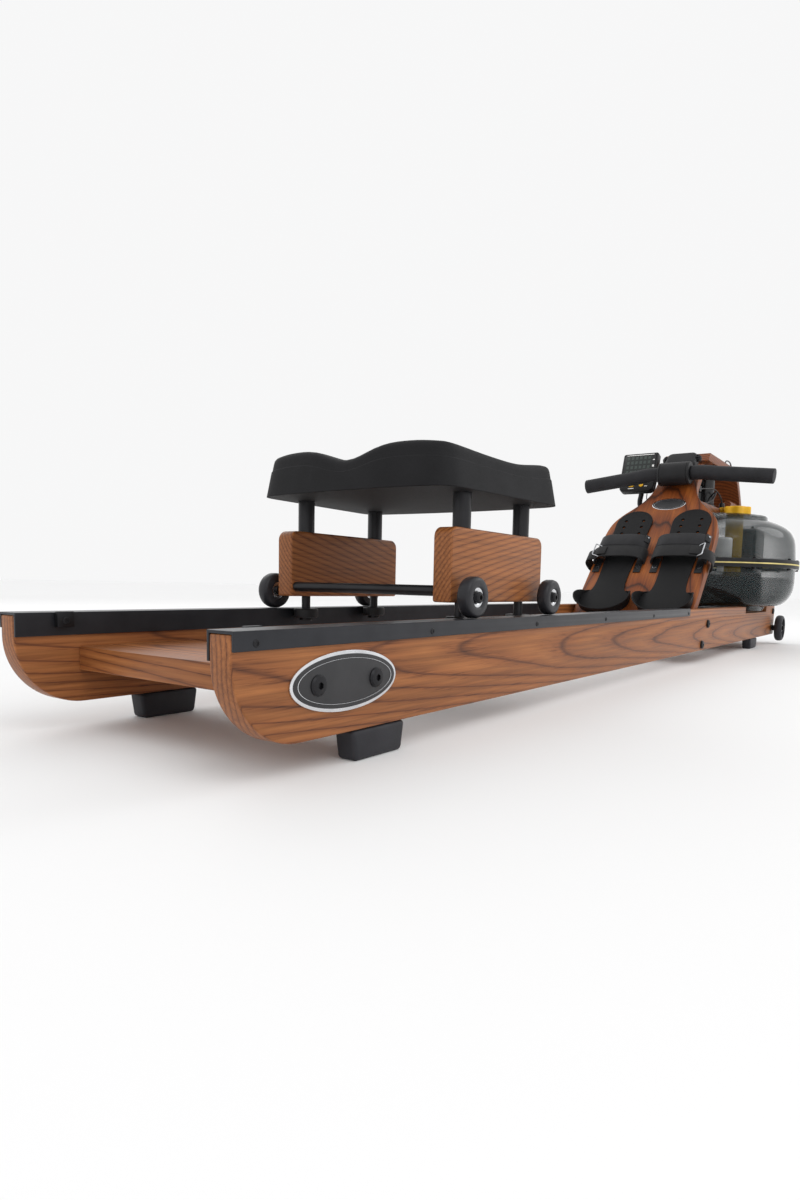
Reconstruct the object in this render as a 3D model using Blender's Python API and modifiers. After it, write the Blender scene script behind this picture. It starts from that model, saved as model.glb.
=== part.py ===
"""A water rowing machine: wooden side boards with rails, a rolling seat, a leaning footplate and a water tank.

Units are metres and +Z is up. Lengths along the machine run from the rear end of the boards (0) towards the
tank. The left side, seen by the person rowing, is +Y.
"""

import math

import bpy
import bmesh
from mathutils import Matrix, Vector

# Whole machine
OVERALL_LENGTH = 2.134
GAP = 0.0003
BOARD_LENGTH = 2.120
BOARD_OUTER_Y = 0.1652
BOARD_THICKNESS = 0.0239
BOARD_INNER_Y = BOARD_OUTER_Y - BOARD_THICKNESS
BOARD_BOTTOM_Z = 0.0285
BOARD_TOP_Z = 0.1172
BOARD_TAIL_RADIUS = 0.0686
BOARD_NOSE_RADIUS = 0.006
NOTCH_START_X = 1.700
NOTCH_END_X = 1.985
NOTCH_FLOOR_Z = 0.100

# Rails
RAIL_END_X = 1.159
RAIL_WALL = 0.0025
RAIL_TOP_Z = BOARD_TOP_Z + GAP + RAIL_WALL
RAIL_OUTER_DROP = 0.015
RAIL_INNER_DROP = 0.023

# Crossboards and their tie bolts
CROSSBOARD_THICKNESS = 0.024
REAR_CROSSBOARD_X = (0.0626, 0.196)
REAR_CROSSBOARD_MID_Z = 0.073
REAR_BOLTS_X = (0.0859, 0.1588)
TIE_RADIUS = 0.004
TIE_HOLE_RADIUS = TIE_RADIUS + GAP
TIE_HEAD_RADIUS = 0.0085
TIE_HEAD_THICKNESS = 0.005
TANK_BASE_X = (1.680, 2.050)
TANK_BASE_TOP_Z = 0.1037

# Footplate, measured along its slope (s) and square to its front face (n)
FOOTPLATE_LEAN = math.radians(46.7)
FOOTPLATE_FOOT_X = 1.2936
FOOTPLATE_FOOT_Z = 0.1204
FOOTPLATE_THICKNESS = 0.024
FOOTPLATE_HALF_WIDTH = 0.139
FOOTPLATE_NECK_HALF_WIDTH = 0.052
FOOTPLATE_BOTTOM_S = -0.085
FOOTPLATE_TOP_S = 0.503
BATTEN_MID_S = -0.0456
BATTEN_MID_N = -0.0355
BATTEN_HALF_LENGTH = 0.036
BATTEN_BOLT_OFFSET = 0.030

# Seat carriage
SEAT_X = (0.292, 0.553)
SEAT_HALF_WIDTHS = (0.143, 0.162)
SEAT_END_CURVE = 0.09
SEAT_CORNER_CUT = 0.03
SEAT_BOTTOM_Z = 0.2603
SEAT_TOP_Z = 0.302
SEAT_BUMP = 0.010
SEAT_DIP = 0.008
SEAT_FRONT_RISE = 0.007
POST_X = (0.364, 0.506)
POST_Y = 0.1216
POST_RADIUS = 0.0106
POST_LOWER_RADIUS = 0.0055
BLOCK_X = (0.3255, 0.5445)
BLOCK_Y = (0.1095, 0.1345)
BLOCK_Z = (0.1365, 0.2200)
BLOCK_CORNER_RADIUS = 0.012
WHEEL_X = (0.339, 0.529)
WHEEL_RADIUS = 0.0228
WHEEL_WIDTH = 0.0165
WHEEL_MID_Y = 0.1548
CROSS_ROD_X = (0.334, 0.524)
CROSS_ROD_Z = 0.1490
CROSS_ROD_RADIUS = 0.006
ROLLER_RADIUS = 0.0162
ROLLER_THICKNESS = 0.012
ROLLER_MID_Z = 0.1140

# Tank, turned about the vertical axis of its shaft
TANK_X = 1.867
TANK_WALL = 0.004
TANK_SIDES = 40
TANK_FOOT_Z = 0.1040
TANK_FLANGE_RADIUS = 0.2585
TANK_JOINT_Z = 0.2323
TANK_FLANGE_THICKNESS = 0.0090
GASKET_THICKNESS = 0.0030
GASKET_RADIUS = 0.2595
LID_RADIUS = 0.1705
LID_TOP_Z = 0.3675
SHAFT_RADIUS = 0.008
SHAFT_HOLE_RADIUS = 0.016
DRUM_RADIUS = 0.0245
DRUM_Z = (0.3935, 0.478)
KNOB_Y = -0.086
KNOB_RADIUS = 0.041
KNOB_LOBE = 0.0035
KNOB_LOBES = 7
KNOB_Z = (0.3685, 0.3955)
COLUMN_RADIUS = 0.024
INNER_TANK_RADIUS = 0.165
INNER_TANK_TOP_Z = 0.210

# Bridge over the tank
BRIDGE_HALF_WIDTH = 0.060
BRIDGE_TOP_Z = 0.518
BRIDGE_THICKNESS = 0.022
BRIDGE_BASE_Z = (0.3680, 0.3900)

# Handle and belt
HANDLE_X = 1.5641
HANDLE_Z = 0.4536
HANDLE_END_X = 1.5590
HANDLE_END_Z = 0.4325
HANDLE_END_Y = 0.2375
HANDLE_BAR_RADIUS = 0.0110
GRIP_RADIUS = 0.0180
COVER_RADIUS = 0.0290
COVER_HALF_WIDTH = 0.0405
HOUSING_S = (0.466, 0.515)
BELT_HEIGHT = 0.024
BELT_THICKNESS = 0.0016
BELT_SLOT = ((1.56, -0.007, HANDLE_Z - 0.016), (1.73, 0.007, HANDLE_Z + 0.016))
CORD_HOLE = (1.608, -0.016)
CORD_RADIUS = 0.003

# Console
CONSOLE_CENTRE = (1.655, 0.125, 0.474)
CONSOLE_SIZE = (0.024, 0.098, 0.112)
CONSOLE_TILT = math.radians(18)
CONSOLE_PIN_BEHIND = 0.026
CONSOLE_EAR_Y = (0.0100, 0.0140)
ARM_RADIUS = 0.007

# Footbeds and their straps, measured across and up the footplate
FOOTBED_Y = 0.0715
TOE_S = 0.274
TOE_HALF_WIDTH = 0.046
SOLE_THICKNESS = 0.004
HEEL_S = 0.005
HEEL_HALF_WIDTH = 0.062
HEEL_DEPTH = 0.040
HEEL_HEIGHT = 0.033
HEEL_WALL = 0.003
STRAP_S = (0.131, 0.204)

# Transport wheels
TRANSPORT_X = 2.095
TRANSPORT_Y = 0.187
TRANSPORT_Z = 0.0485
TRANSPORT_RADIUS = 0.039
TRANSPORT_WIDTH = 0.021

PARTS = "rowing_machine"
CUTTERS = "cutters"


def clear_scene():
    for old in list(bpy.data.objects):
        bpy.data.objects.remove(old, do_unlink=True)


def make_collection(name):
    collection = bpy.data.collections.new(name)
    bpy.context.scene.collection.children.link(collection)
    return collection


clear_scene()
parts = make_collection(PARTS)
cutters = make_collection(CUTTERS)


def material(name, colour, roughness, metallic=0.0, alpha=1.0):
    made = bpy.data.materials.new(name)
    made.use_nodes = True
    shader = made.node_tree.nodes["Principled BSDF"]
    shader.inputs["Base Color"].default_value = (*colour, 1.0)
    shader.inputs["Roughness"].default_value = roughness
    shader.inputs["Metallic"].default_value = metallic
    shader.inputs["Alpha"].default_value = alpha
    return made


STAINED_ASH = material("stained_ash", (0.36, 0.14, 0.06), 0.45)
BLACK_RAIL = material("black_rail", (0.03, 0.03, 0.035), 0.3, 0.8)
BLACK_STEEL = material("black_steel", (0.02, 0.02, 0.022), 0.35, 0.6)
BLACK_RUBBER = material("black_rubber", (0.02, 0.02, 0.02), 0.8)
SEAT_FOAM = material("seat_foam", (0.03, 0.03, 0.033), 0.75)
WHEEL_TYRE = material("wheel_tyre", (0.02, 0.02, 0.022), 0.4)
SMOKY_TANK = material("smoky_tank", (0.25, 0.28, 0.30), 0.08, 0.0, 0.35)
GASKET_YELLOW = material("gasket_yellow", (0.80, 0.72, 0.30), 0.5)
KNOB_YELLOW = material("knob_yellow", (0.95, 0.60, 0.02), 0.35)
BLACK_PLASTIC = material("black_plastic", (0.025, 0.025, 0.027), 0.45)
WEBBING = material("webbing", (0.015, 0.015, 0.016), 0.85)
PALE_PLASTIC = material("pale_plastic", (0.75, 0.76, 0.78), 0.4)


def empty(name, location, parent=None):
    made = bpy.data.objects.new(name, None)
    made.location = location
    made.parent = parent
    parts.objects.link(made)
    return made


machine = empty("machine", (-OVERALL_LENGTH / 2, 0, 0))


def object_of(name, mesh, look, parent=machine, location=(0, 0, 0), smooth=False):
    made = bpy.data.objects.new(name, mesh)
    made.location = location
    made.parent = parent
    if look:
        mesh.materials.append(look)
    if smooth:
        mesh.shade_smooth()
        mesh.set_sharp_from_angle(angle=math.radians(35))
    parts.objects.link(made)
    return made


def mesh_of(name, shape):
    bmesh.ops.recalc_face_normals(shape, faces=shape.faces)
    mesh = bpy.data.meshes.new(name)
    shape.to_mesh(mesh)
    shape.free()
    return mesh


def box_mesh(name, low, high):
    shape = bmesh.new()
    size = [b - a for a, b in zip(low, high)]
    middle = [(a + b) / 2 for a, b in zip(low, high)]
    bmesh.ops.create_cube(shape, size=1.0, matrix=Matrix.Translation(middle) @ Matrix.Diagonal((*size, 1)))
    return mesh_of(name, shape)


def cylinder_mesh(name, radius, start, end, sides=24, end_radius=None):
    """A cylinder or cone between two points."""
    start, end = Vector(start), Vector(end)
    along = end - start
    turn = along.to_track_quat("Z", "Y").to_matrix().to_4x4()
    shape = bmesh.new()
    bmesh.ops.create_cone(
        shape,
        cap_ends=True,
        segments=sides,
        radius1=radius,
        radius2=radius if end_radius is None else end_radius,
        depth=along.length,
        matrix=Matrix.Translation((start + end) / 2) @ turn,
    )
    return mesh_of(name, shape)


def bevel(made, width, segments=2):
    modifier = made.modifiers.new("rounded_edges", "BEVEL")
    modifier.width = width
    modifier.segments = segments
    modifier.limit_method = "ANGLE"
    modifier.angle_limit = math.radians(40)
    return made


def as_cutter(made):
    """Takes an object out of the parts and marks it as a cutter."""
    parts.objects.unlink(made)
    cutters.objects.link(made)
    made.hide_render = True
    made.display_type = "WIRE"
    return made


def boolean(made, other, operation="DIFFERENCE"):
    modifier = made.modifiers.new(operation.lower(), "BOOLEAN")
    modifier.operation = operation
    modifier.object = other
    return made


def cut_hole(made, radius, start, end, sides=16):
    mesh = cylinder_mesh(made.name + "_hole", radius, start, end, sides)
    return boolean(made, as_cutter(object_of(mesh.name, mesh, None)))


def cut_box(made, low, high):
    mesh = box_mesh(made.name + "_cut", low, high)
    return boolean(made, as_cutter(object_of(mesh.name, mesh, None)))


def turned(name, profile, axis_point, look, steps=32, parent=machine, axis="Z"):
    """A profile of (radius, height) points, listed from the top of the outer side down, spun on an axis."""
    shape = bmesh.new()
    corners = [shape.verts.new((radius, 0, height)) for radius, height in profile]
    for one, following in zip(corners, corners[1:]):
        shape.edges.new((one, following))
    if profile[0][0] > 0:
        shape.edges.new((corners[-1], corners[0]))
    mesh = bpy.data.meshes.new(name)
    shape.to_mesh(mesh)
    shape.free()
    made = object_of(name, mesh, look, parent, axis_point)
    if axis == "Y":
        made.rotation_euler = (math.radians(90), 0, 0)
    screw = made.modifiers.new("turned", "SCREW")
    screw.steps = steps
    screw.render_steps = steps
    screw.use_merge_vertices = True
    screw.merge_threshold = 0.00005
    screw.use_smooth_shade = True
    return made


def meshed(made):
    """The object as a plain mesh with its caps welded, so that it can be cut, joined or be a cutter."""
    bpy.context.view_layer.update()
    evaluated = made.evaluated_get(bpy.context.evaluated_depsgraph_get())
    mesh = bpy.data.meshes.new_from_object(evaluated)
    shape = bmesh.new()
    shape.from_mesh(mesh)
    bmesh.ops.remove_doubles(shape, verts=shape.verts, dist=0.00002)
    bmesh.ops.recalc_face_normals(shape, faces=shape.faces)
    shape.to_mesh(mesh)
    shape.free()
    name, parent, place = made.name, made.parent, made.matrix_world.copy()
    made.name = name + "_guide"
    bpy.data.objects.remove(made, do_unlink=True)
    mesh.name = name
    whole = bpy.data.objects.new(name, mesh)
    whole.parent = parent
    parts.objects.link(whole)
    bpy.context.view_layer.update()
    whole.matrix_world = place
    return whole


def rod(name, points, radius, look, parent=machine, resolution=2):
    """A round bar along a path of points."""
    curve = bpy.data.curves.new(name, "CURVE")
    curve.dimensions = "3D"
    curve.bevel_depth = radius
    curve.bevel_resolution = resolution
    curve.use_fill_caps = True
    spline = curve.splines.new("POLY")
    spline.points.add(len(points) - 1)
    for slot, point in zip(spline.points, points):
        slot.co = (*point, 1)
    made = bpy.data.objects.new(name, curve)
    made.parent = parent
    curve.materials.append(look)
    parts.objects.link(made)
    return meshed(made)


def plate(name, outline, thickness, look, place, parent=machine):
    """A flat plate of the given outline, its thickness centred on the plane that place sets."""
    curve = bpy.data.curves.new(name, "CURVE")
    curve.dimensions = "2D"
    curve.fill_mode = "BOTH"
    curve.extrude = thickness / 2
    spline = curve.splines.new("POLY")
    spline.points.add(len(outline) - 1)
    for slot, (x, y) in zip(spline.points, outline):
        slot.co = (x, y, 0, 1)
    spline.use_cyclic_u = True
    made = bpy.data.objects.new(name, curve)
    made.parent = parent
    made.matrix_basis = place
    curve.materials.append(look)
    parts.objects.link(made)
    return meshed(made)


def arc(centre, radius, start, end, steps=6):
    """Points along an arc, with its angles in degrees."""
    found = []
    for step in range(steps + 1):
        angle = math.radians(start + (end - start) * step / steps)
        found.append((centre[0] + radius * math.cos(angle), centre[1] + radius * math.sin(angle)))
    return found


def rounded_box_outline(low, high, radius, steps=4):
    (x0, y0), (x1, y1) = low, high
    return (
        arc((x1 - radius, y1 - radius), radius, 0, 90, steps)
        + arc((x0 + radius, y1 - radius), radius, 90, 180, steps)
        + arc((x0 + radius, y0 + radius), radius, 180, 270, steps)
        + arc((x1 - radius, y0 + radius), radius, 270, 360, steps)
    )


def smooth_path(points, per_span=6):
    """Points read from a Catmull-Rom curve through the given ones."""
    ends = [Vector(points[0]) * 2 - Vector(points[1])] + [Vector(p) for p in points]
    ends.append(ends[-1] * 2 - ends[-2])
    found = []
    for a, b, c, d in zip(ends, ends[1:], ends[2:], ends[3:]):
        for step in range(per_span):
            t = step / per_span
            square, cube = 2 * a - 5 * b + 4 * c - d, 3 * b - a - 3 * c + d
            found.append(0.5 * (2 * b + (c - a) * t + square * t**2 + cube * t**3))
    return found + [ends[-2]]


# A plane in XZ for outlines given as (x, z)
UPRIGHT = Matrix.Rotation(math.radians(90), 4, "X")
SLOPE = Vector((math.cos(FOOTPLATE_LEAN), 0, math.sin(FOOTPLATE_LEAN)))
FACE_OUT = Vector((-math.sin(FOOTPLATE_LEAN), 0, math.cos(FOOTPLATE_LEAN)))
FACE_ORIGIN = Vector((FOOTPLATE_FOOT_X, 0, FOOTPLATE_FOOT_Z))


def on_footplate(n):
    """The frame of the footplate's face, raised by n: local x runs to the left, local y up the slope."""
    left = Vector((0, 1, 0))
    turn = Matrix((left, SLOPE, -FACE_OUT)).transposed().to_4x4()
    return Matrix.Translation(FACE_ORIGIN + FACE_OUT * n) @ turn


def face_point(y, s, n):
    return FACE_ORIGIN + SLOPE * s + FACE_OUT * n + Vector((0, y, 0))


def tie_bolt(name, x, z):
    """A bolt right through both boards, with a head outside each."""
    reach = BOARD_OUTER_Y + GAP
    start, end = (x, -reach - 0.001, z), (x, reach + 0.001, z)
    made = object_of(name, cylinder_mesh(name, TIE_RADIUS, start, end, 12), BLACK_STEEL)
    for side in (-1, 1):
        start = (x, side * reach, z)
        end = (x, side * (reach + TIE_HEAD_THICKNESS), z)
        head = object_of(
            name + "_head",
            cylinder_mesh(name + "_head", TIE_HEAD_RADIUS, start, end, 16),
            None,
        )
        boolean(made, as_cutter(head), "UNION")
    return made


def side_outline():
    """A board's outline: a round tail, a straight bottom, a small nose radius and the notch for the tank."""
    tail_low = arc((BOARD_TAIL_RADIUS, BOARD_BOTTOM_Z + BOARD_TAIL_RADIUS), BOARD_TAIL_RADIUS, 180, 270, 10)
    nose_low = arc(
        (BOARD_LENGTH - BOARD_NOSE_RADIUS, BOARD_BOTTOM_Z + BOARD_NOSE_RADIUS),
        BOARD_NOSE_RADIUS,
        270,
        360,
        3,
    )
    nose_top = arc(
        (BOARD_LENGTH - BOARD_NOSE_RADIUS, BOARD_TOP_Z - BOARD_NOSE_RADIUS),
        BOARD_NOSE_RADIUS,
        0,
        90,
        3,
    )
    notch = [
        (NOTCH_END_X, BOARD_TOP_Z),
        (NOTCH_END_X, NOTCH_FLOOR_Z),
        (NOTCH_START_X, NOTCH_FLOOR_Z),
        (NOTCH_START_X, BOARD_TOP_Z),
    ]
    return tail_low + nose_low + nose_top + notch + [(0, BOARD_TOP_Z)]


def batten_bolt_places():
    for along in (-BATTEN_BOLT_OFFSET, BATTEN_BOLT_OFFSET):
        place = face_point(0, BATTEN_MID_S + along, BATTEN_MID_N)
        yield place.x, place.z


def make_boards():
    for name, side in (("left_side_board", 1), ("right_side_board", -1)):
        middle = side * (BOARD_OUTER_Y - BOARD_THICKNESS / 2)
        board = plate(
            name,
            side_outline(),
            BOARD_THICKNESS,
            STAINED_ASH,
            Matrix.Translation((0, middle, 0)) @ UPRIGHT,
        )
        holes = [(x, REAR_CROSSBOARD_MID_Z) for x in REAR_BOLTS_X] + list(batten_bolt_places())
        for x, z in holes + [(TRANSPORT_X, TRANSPORT_Z)]:
            cut_hole(board, TIE_HOLE_RADIUS, (x, middle - 0.03, z), (x, middle + 0.03, z), 12)


def make_rails():
    for name, side in (("left_rail", 1), ("right_rail", -1)):
        outer = BOARD_OUTER_Y + GAP
        inner = BOARD_INNER_Y - GAP
        section = [
            (outer, RAIL_TOP_Z - RAIL_WALL),
            (outer, RAIL_TOP_Z - RAIL_OUTER_DROP),
            (outer + RAIL_WALL, RAIL_TOP_Z - RAIL_OUTER_DROP),
            (outer + RAIL_WALL, RAIL_TOP_Z),
            (inner - RAIL_WALL, RAIL_TOP_Z),
            (inner - RAIL_WALL, RAIL_TOP_Z - RAIL_INNER_DROP),
            (inner, RAIL_TOP_Z - RAIL_INNER_DROP),
            (inner, RAIL_TOP_Z - RAIL_WALL),
        ]
        across = [(side * y, z) for y, z in section]
        place = Matrix.Translation((RAIL_END_X / 2, 0, 0)) @ Matrix(
            ((0, 0, 1), (1, 0, 0), (0, 1, 0)),
        ).to_4x4()
        plate(name, across, RAIL_END_X, BLACK_RAIL, place)


def make_crossboards():
    reach = BOARD_INNER_Y - GAP
    low = (REAR_CROSSBOARD_X[0], -reach, REAR_CROSSBOARD_MID_Z - CROSSBOARD_THICKNESS / 2)
    high = (REAR_CROSSBOARD_X[1], reach, REAR_CROSSBOARD_MID_Z + CROSSBOARD_THICKNESS / 2)
    rear = object_of("rear_crossboard", box_mesh("rear_crossboard", low, high), STAINED_ASH)
    for number, x in enumerate(REAR_BOLTS_X, 1):
        cut_hole(
            rear,
            TIE_HOLE_RADIUS,
            (x, -0.2, REAR_CROSSBOARD_MID_Z),
            (x, 0.2, REAR_CROSSBOARD_MID_Z),
            12,
        )
        tie_bolt(f"rear_tie_bolt_{number}", x, REAR_CROSSBOARD_MID_Z)

    half_length, half_width = BATTEN_HALF_LENGTH, reach
    outline = [
        (-half_width, -half_length),
        (half_width, -half_length),
        (half_width, half_length),
        (-half_width, half_length),
    ]
    place = on_footplate(BATTEN_MID_N) @ Matrix.Translation((0, BATTEN_MID_S, 0))
    batten = plate("footplate_batten", outline, CROSSBOARD_THICKNESS - 0.002, STAINED_ASH, place)
    for number, (x, z) in enumerate(batten_bolt_places(), 1):
        cut_hole(batten, TIE_HOLE_RADIUS, (x, -0.2, z), (x, 0.2, z), 12)
        tie_bolt(f"batten_tie_bolt_{number}", x, z)

    low = (TANK_BASE_X[0], -reach, TANK_BASE_TOP_Z - CROSSBOARD_THICKNESS)
    high = (TANK_BASE_X[1], reach, TANK_BASE_TOP_Z)
    object_of("tank_base_board", box_mesh("tank_base_board", low, high), STAINED_ASH)


def make_feet():
    """Tapered rubber feet under the boards."""
    rear = (0.132, 0.207)
    front = (1.789, 1.876)
    for place, (start, end) in (("rear", rear), ("front", front)):
        for side_name, side in (("left", 1), ("right", -1)):
            middle_y = side * (BOARD_OUTER_Y - BOARD_THICKNESS / 2)
            middle_x = (start + end) / 2
            shape = bmesh.new()
            size = (end - start, BOARD_THICKNESS - 0.001, BOARD_BOTTOM_Z - GAP)
            centre = Matrix.Translation((middle_x, middle_y, size[2] / 2))
            bmesh.ops.create_cube(shape, size=1.0, matrix=centre @ Matrix.Diagonal((*size, 1)))
            for corner in shape.verts:
                if corner.co.z < size[2] / 2:
                    corner.co.x = middle_x + (corner.co.x - middle_x) * 0.86
            name = f"{place}_{side_name}_foot"
            foot = object_of(name, mesh_of(name, shape), BLACK_RUBBER)
            bevel(foot, 0.003, 1)


def make_footplate():
    half = FOOTPLATE_HALF_WIDTH
    neck = FOOTPLATE_NECK_HALF_WIDTH
    shoulder = [
        (half - 0.002, 0.245),
        (0.130, 0.282),
        (0.112, 0.309),
        (0.092, 0.334),
        (0.074, 0.357),
        (0.062, 0.381),
        (neck + 0.003, 0.405),
    ]
    right_half = [(half, FOOTPLATE_BOTTOM_S), (half, 0.200)] + shoulder + [
        (neck, 0.430),
        (neck, FOOTPLATE_TOP_S),
    ]
    outline = right_half + [(-y, s) for y, s in reversed(right_half)]
    made = plate(
        "footplate",
        outline,
        FOOTPLATE_THICKNESS,
        STAINED_ASH,
        on_footplate(-FOOTPLATE_THICKNESS / 2),
    )
    cut_box(made, *BELT_SLOT)


def leg_frame():
    """Points of the bridge's outer face in side view: along the top, round the corner, down the leg."""
    top = BRIDGE_TOP_Z
    return [
        (1.935, top),
        (1.968, 0.513),
        (1.996, 0.500),
        (2.020, 0.478),
        (2.042, 0.452),
        (2.066, 0.4187),
        (2.086, 0.3903),
    ]


def make_bridge():
    """A bent wooden bridge from the footplate's top over the belt drum to a base on the tank's lid."""
    outer = leg_frame()
    inner = []
    for index, (x, z) in enumerate(outer):
        before = Vector(outer[max(index - 1, 0)])
        after = Vector(outer[min(index + 1, len(outer) - 1)])
        along = (after - before).normalized()
        inner.append((x + along.y * BRIDGE_THICKNESS, z - along.x * BRIDGE_THICKNESS))
    inner[-1] = (inner[-1][0] + 0.006, outer[-1][1])
    s_top = (BRIDGE_TOP_Z - FOOTPLATE_FOOT_Z) / SLOPE.z
    s_low = (BRIDGE_TOP_Z - BRIDGE_THICKNESS - FOOTPLATE_FOOT_Z) / SLOPE.z
    rear_top = (FOOTPLATE_FOOT_X + SLOPE.x * s_top, BRIDGE_TOP_Z)
    rear_low = (FOOTPLATE_FOOT_X + SLOPE.x * s_low, BRIDGE_TOP_Z - BRIDGE_THICKNESS)
    outline = [rear_low] + inner + list(reversed(outer)) + [rear_top]
    plate("bridge", outline, 2 * BRIDGE_HALF_WIDTH, STAINED_ASH, UPRIGHT)

    low_z, high_z = BRIDGE_BASE_Z
    back_n = -FOOTPLATE_THICKNESS - 0.0006
    rear_points = []
    for z in (low_z, high_z):
        s = (z - FOOTPLATE_FOOT_Z - FACE_OUT.z * back_n) / SLOPE.z
        rear_points.append((FOOTPLATE_FOOT_X + SLOPE.x * s + FACE_OUT.x * back_n, z))
    outline = [rear_points[0], (2.034, low_z), (2.090, high_z), rear_points[1]]
    base = plate("bridge_base", outline, 2 * FOOTPLATE_NECK_HALF_WIDTH, STAINED_ASH, UPRIGHT)
    cut_hole(base, SHAFT_HOLE_RADIUS, (TANK_X, 0, 0.3), (TANK_X, 0, 0.45), 20)
    cut_hole(base, KNOB_RADIUS + 0.006, (TANK_X, KNOB_Y, 0.3), (TANK_X, KNOB_Y, 0.45), 24)
    cut_hole(base, 3 * CORD_RADIUS, (*CORD_HOLE, 0.3), (*CORD_HOLE, 0.45), 16)


def seat_height(along, across):
    """The seat's top surface: two bumps along the rear edge, a dip between them and a raised front edge."""
    rear = math.exp(-((along / 0.3) ** 2))
    bumps = math.exp(-(((abs(across) - 0.6) / 0.28) ** 2))
    dip = math.exp(-((across / 0.2) ** 2))
    front = max(0, (along - 0.6) / 0.4) ** 2
    return SEAT_TOP_Z + SEAT_BUMP * rear * bumps - SEAT_DIP * rear * dip + SEAT_FRONT_RISE * front


def make_seat(carriage):
    shape = bmesh.new()
    bmesh.ops.create_cube(shape, size=2.0)
    bmesh.ops.subdivide_edges(shape, edges=shape.edges, cuts=7, use_grid_fill=True)
    for corner in shape.verts:
        u, v, w = corner.co
        along = (u + 1) / 2
        half = SEAT_HALF_WIDTHS[0] + (SEAT_HALF_WIDTHS[1] - SEAT_HALF_WIDTHS[0]) * along
        inset = 1 - 0.05 * (w + 1) / 2
        if abs(u) > 0.999 and abs(v) > 0.999:
            inset -= SEAT_CORNER_CUT
        half_length = (SEAT_X[1] - SEAT_X[0]) / 2 * (1 - SEAT_END_CURVE * v * v)
        x = (SEAT_X[0] + SEAT_X[1]) / 2 + half_length * u * inset
        y = half * v * inset
        top = seat_height(along, v)
        corner.co = (x, y, SEAT_BOTTOM_Z + (top - SEAT_BOTTOM_Z) * (w + 1) / 2)
    object_of("seat", mesh_of("seat", shape), SEAT_FOAM, carriage, (0, 0, 0), smooth=True)


def make_carriage(carriage):
    make_seat(carriage)
    for side_name, side in (("left", 1), ("right", -1)):
        outline = (
            arc(
                (BLOCK_X[1] - BLOCK_CORNER_RADIUS, BLOCK_Z[1] - BLOCK_CORNER_RADIUS),
                BLOCK_CORNER_RADIUS,
                0,
                90,
                5,
            )
            + arc(
                (BLOCK_X[0] + BLOCK_CORNER_RADIUS, BLOCK_Z[1] - BLOCK_CORNER_RADIUS),
                BLOCK_CORNER_RADIUS,
                90,
                180,
                5,
            )
            + [(BLOCK_X[0], BLOCK_Z[0]), (BLOCK_X[1], BLOCK_Z[0])]
        )
        middle = side * (BLOCK_Y[0] + BLOCK_Y[1]) / 2
        thickness = BLOCK_Y[1] - BLOCK_Y[0]
        block = plate(
            f"{side_name}_seat_block", outline, thickness, STAINED_ASH, Matrix.Translation(
                (0, middle, 0),
            ) @ UPRIGHT, carriage
        )
        for x in POST_X:
            cut_hole(block, POST_RADIUS + GAP, (x, side * POST_Y, 0.10), (x, side * POST_Y, 0.25), 20)
        for x in CROSS_ROD_X:
            cut_hole(
                block,
                CROSS_ROD_RADIUS + GAP,
                (x, side * 0.09, CROSS_ROD_Z),
                (x, side * 0.131, CROSS_ROD_Z),
                12,
            )
        for end_name, post_x in zip(("rear", "front"), POST_X):
            corner = f"{end_name}_{side_name}"
            top, bottom = SEAT_BOTTOM_Z - GAP, ROLLER_MID_Z - ROLLER_THICKNESS / 2 - 0.004
            step = BLOCK_Z[0] + 0.002
            profile = [
                (0, top),
                (POST_RADIUS, top),
                (POST_RADIUS, step),
                (POST_LOWER_RADIUS, step),
                (POST_LOWER_RADIUS, bottom + 0.003),
                (0.0085, bottom + 0.003),
                (0.0085, bottom),
                (0, bottom),
            ]
            turned(f"{corner}_post", profile, (post_x, side * POST_Y, 0), BLACK_STEEL, 16, carriage)
            inner, outer = POST_LOWER_RADIUS + GAP, ROLLER_RADIUS
            low, high = ROLLER_MID_Z - ROLLER_THICKNESS / 2, ROLLER_MID_Z + ROLLER_THICKNESS / 2
            profile = [
                (inner, high),
                (outer - 0.001, high),
                (outer, high - 0.001),
                (outer, low + 0.001),
                (outer - 0.001, low),
                (inner, low),
            ]
            turned(
                f"{corner}_guide_roller",
                profile,
                (post_x, side * POST_Y, 0),
                BLACK_RUBBER,
                18,
                carriage,
            )
        for end_name, x in zip(("rear", "front"), WHEEL_X):
            half = WHEEL_WIDTH / 2
            profile = [
                (0, half + 0.0035),
                (0.006, half + 0.0035),
                (0.006, half - 0.0015),
                (0.0105, half - 0.0015),
                (0.012, half),
                (WHEEL_RADIUS - 0.003, half),
                (WHEEL_RADIUS, half - 0.003),
                (WHEEL_RADIUS, -half + 0.003),
                (WHEEL_RADIUS - 0.003, -half),
                (0.010, -half),
                (0.010, -half - 0.003),
                (0, -half - 0.003),
            ]
            place = (x, side * WHEEL_MID_Y, RAIL_TOP_Z + GAP + WHEEL_RADIUS)
            wheel = turned(f"{end_name}_{side_name}_wheel", profile, place, WHEEL_TYRE, 22, carriage)
            wheel.rotation_euler = (math.radians(-90 if side > 0 else 90), 0, 0)
    for end_name, x in zip(("rear", "front"), CROSS_ROD_X):
        start, end = (x, -0.1305, CROSS_ROD_Z), (x, 0.1305, CROSS_ROD_Z)
        name = f"{end_name}_cross_rod"
        object_of(
            name,
            cylinder_mesh(name, CROSS_ROD_RADIUS, start, end, 12),
            BLACK_STEEL,
            carriage,
            smooth=True,
        )


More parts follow.
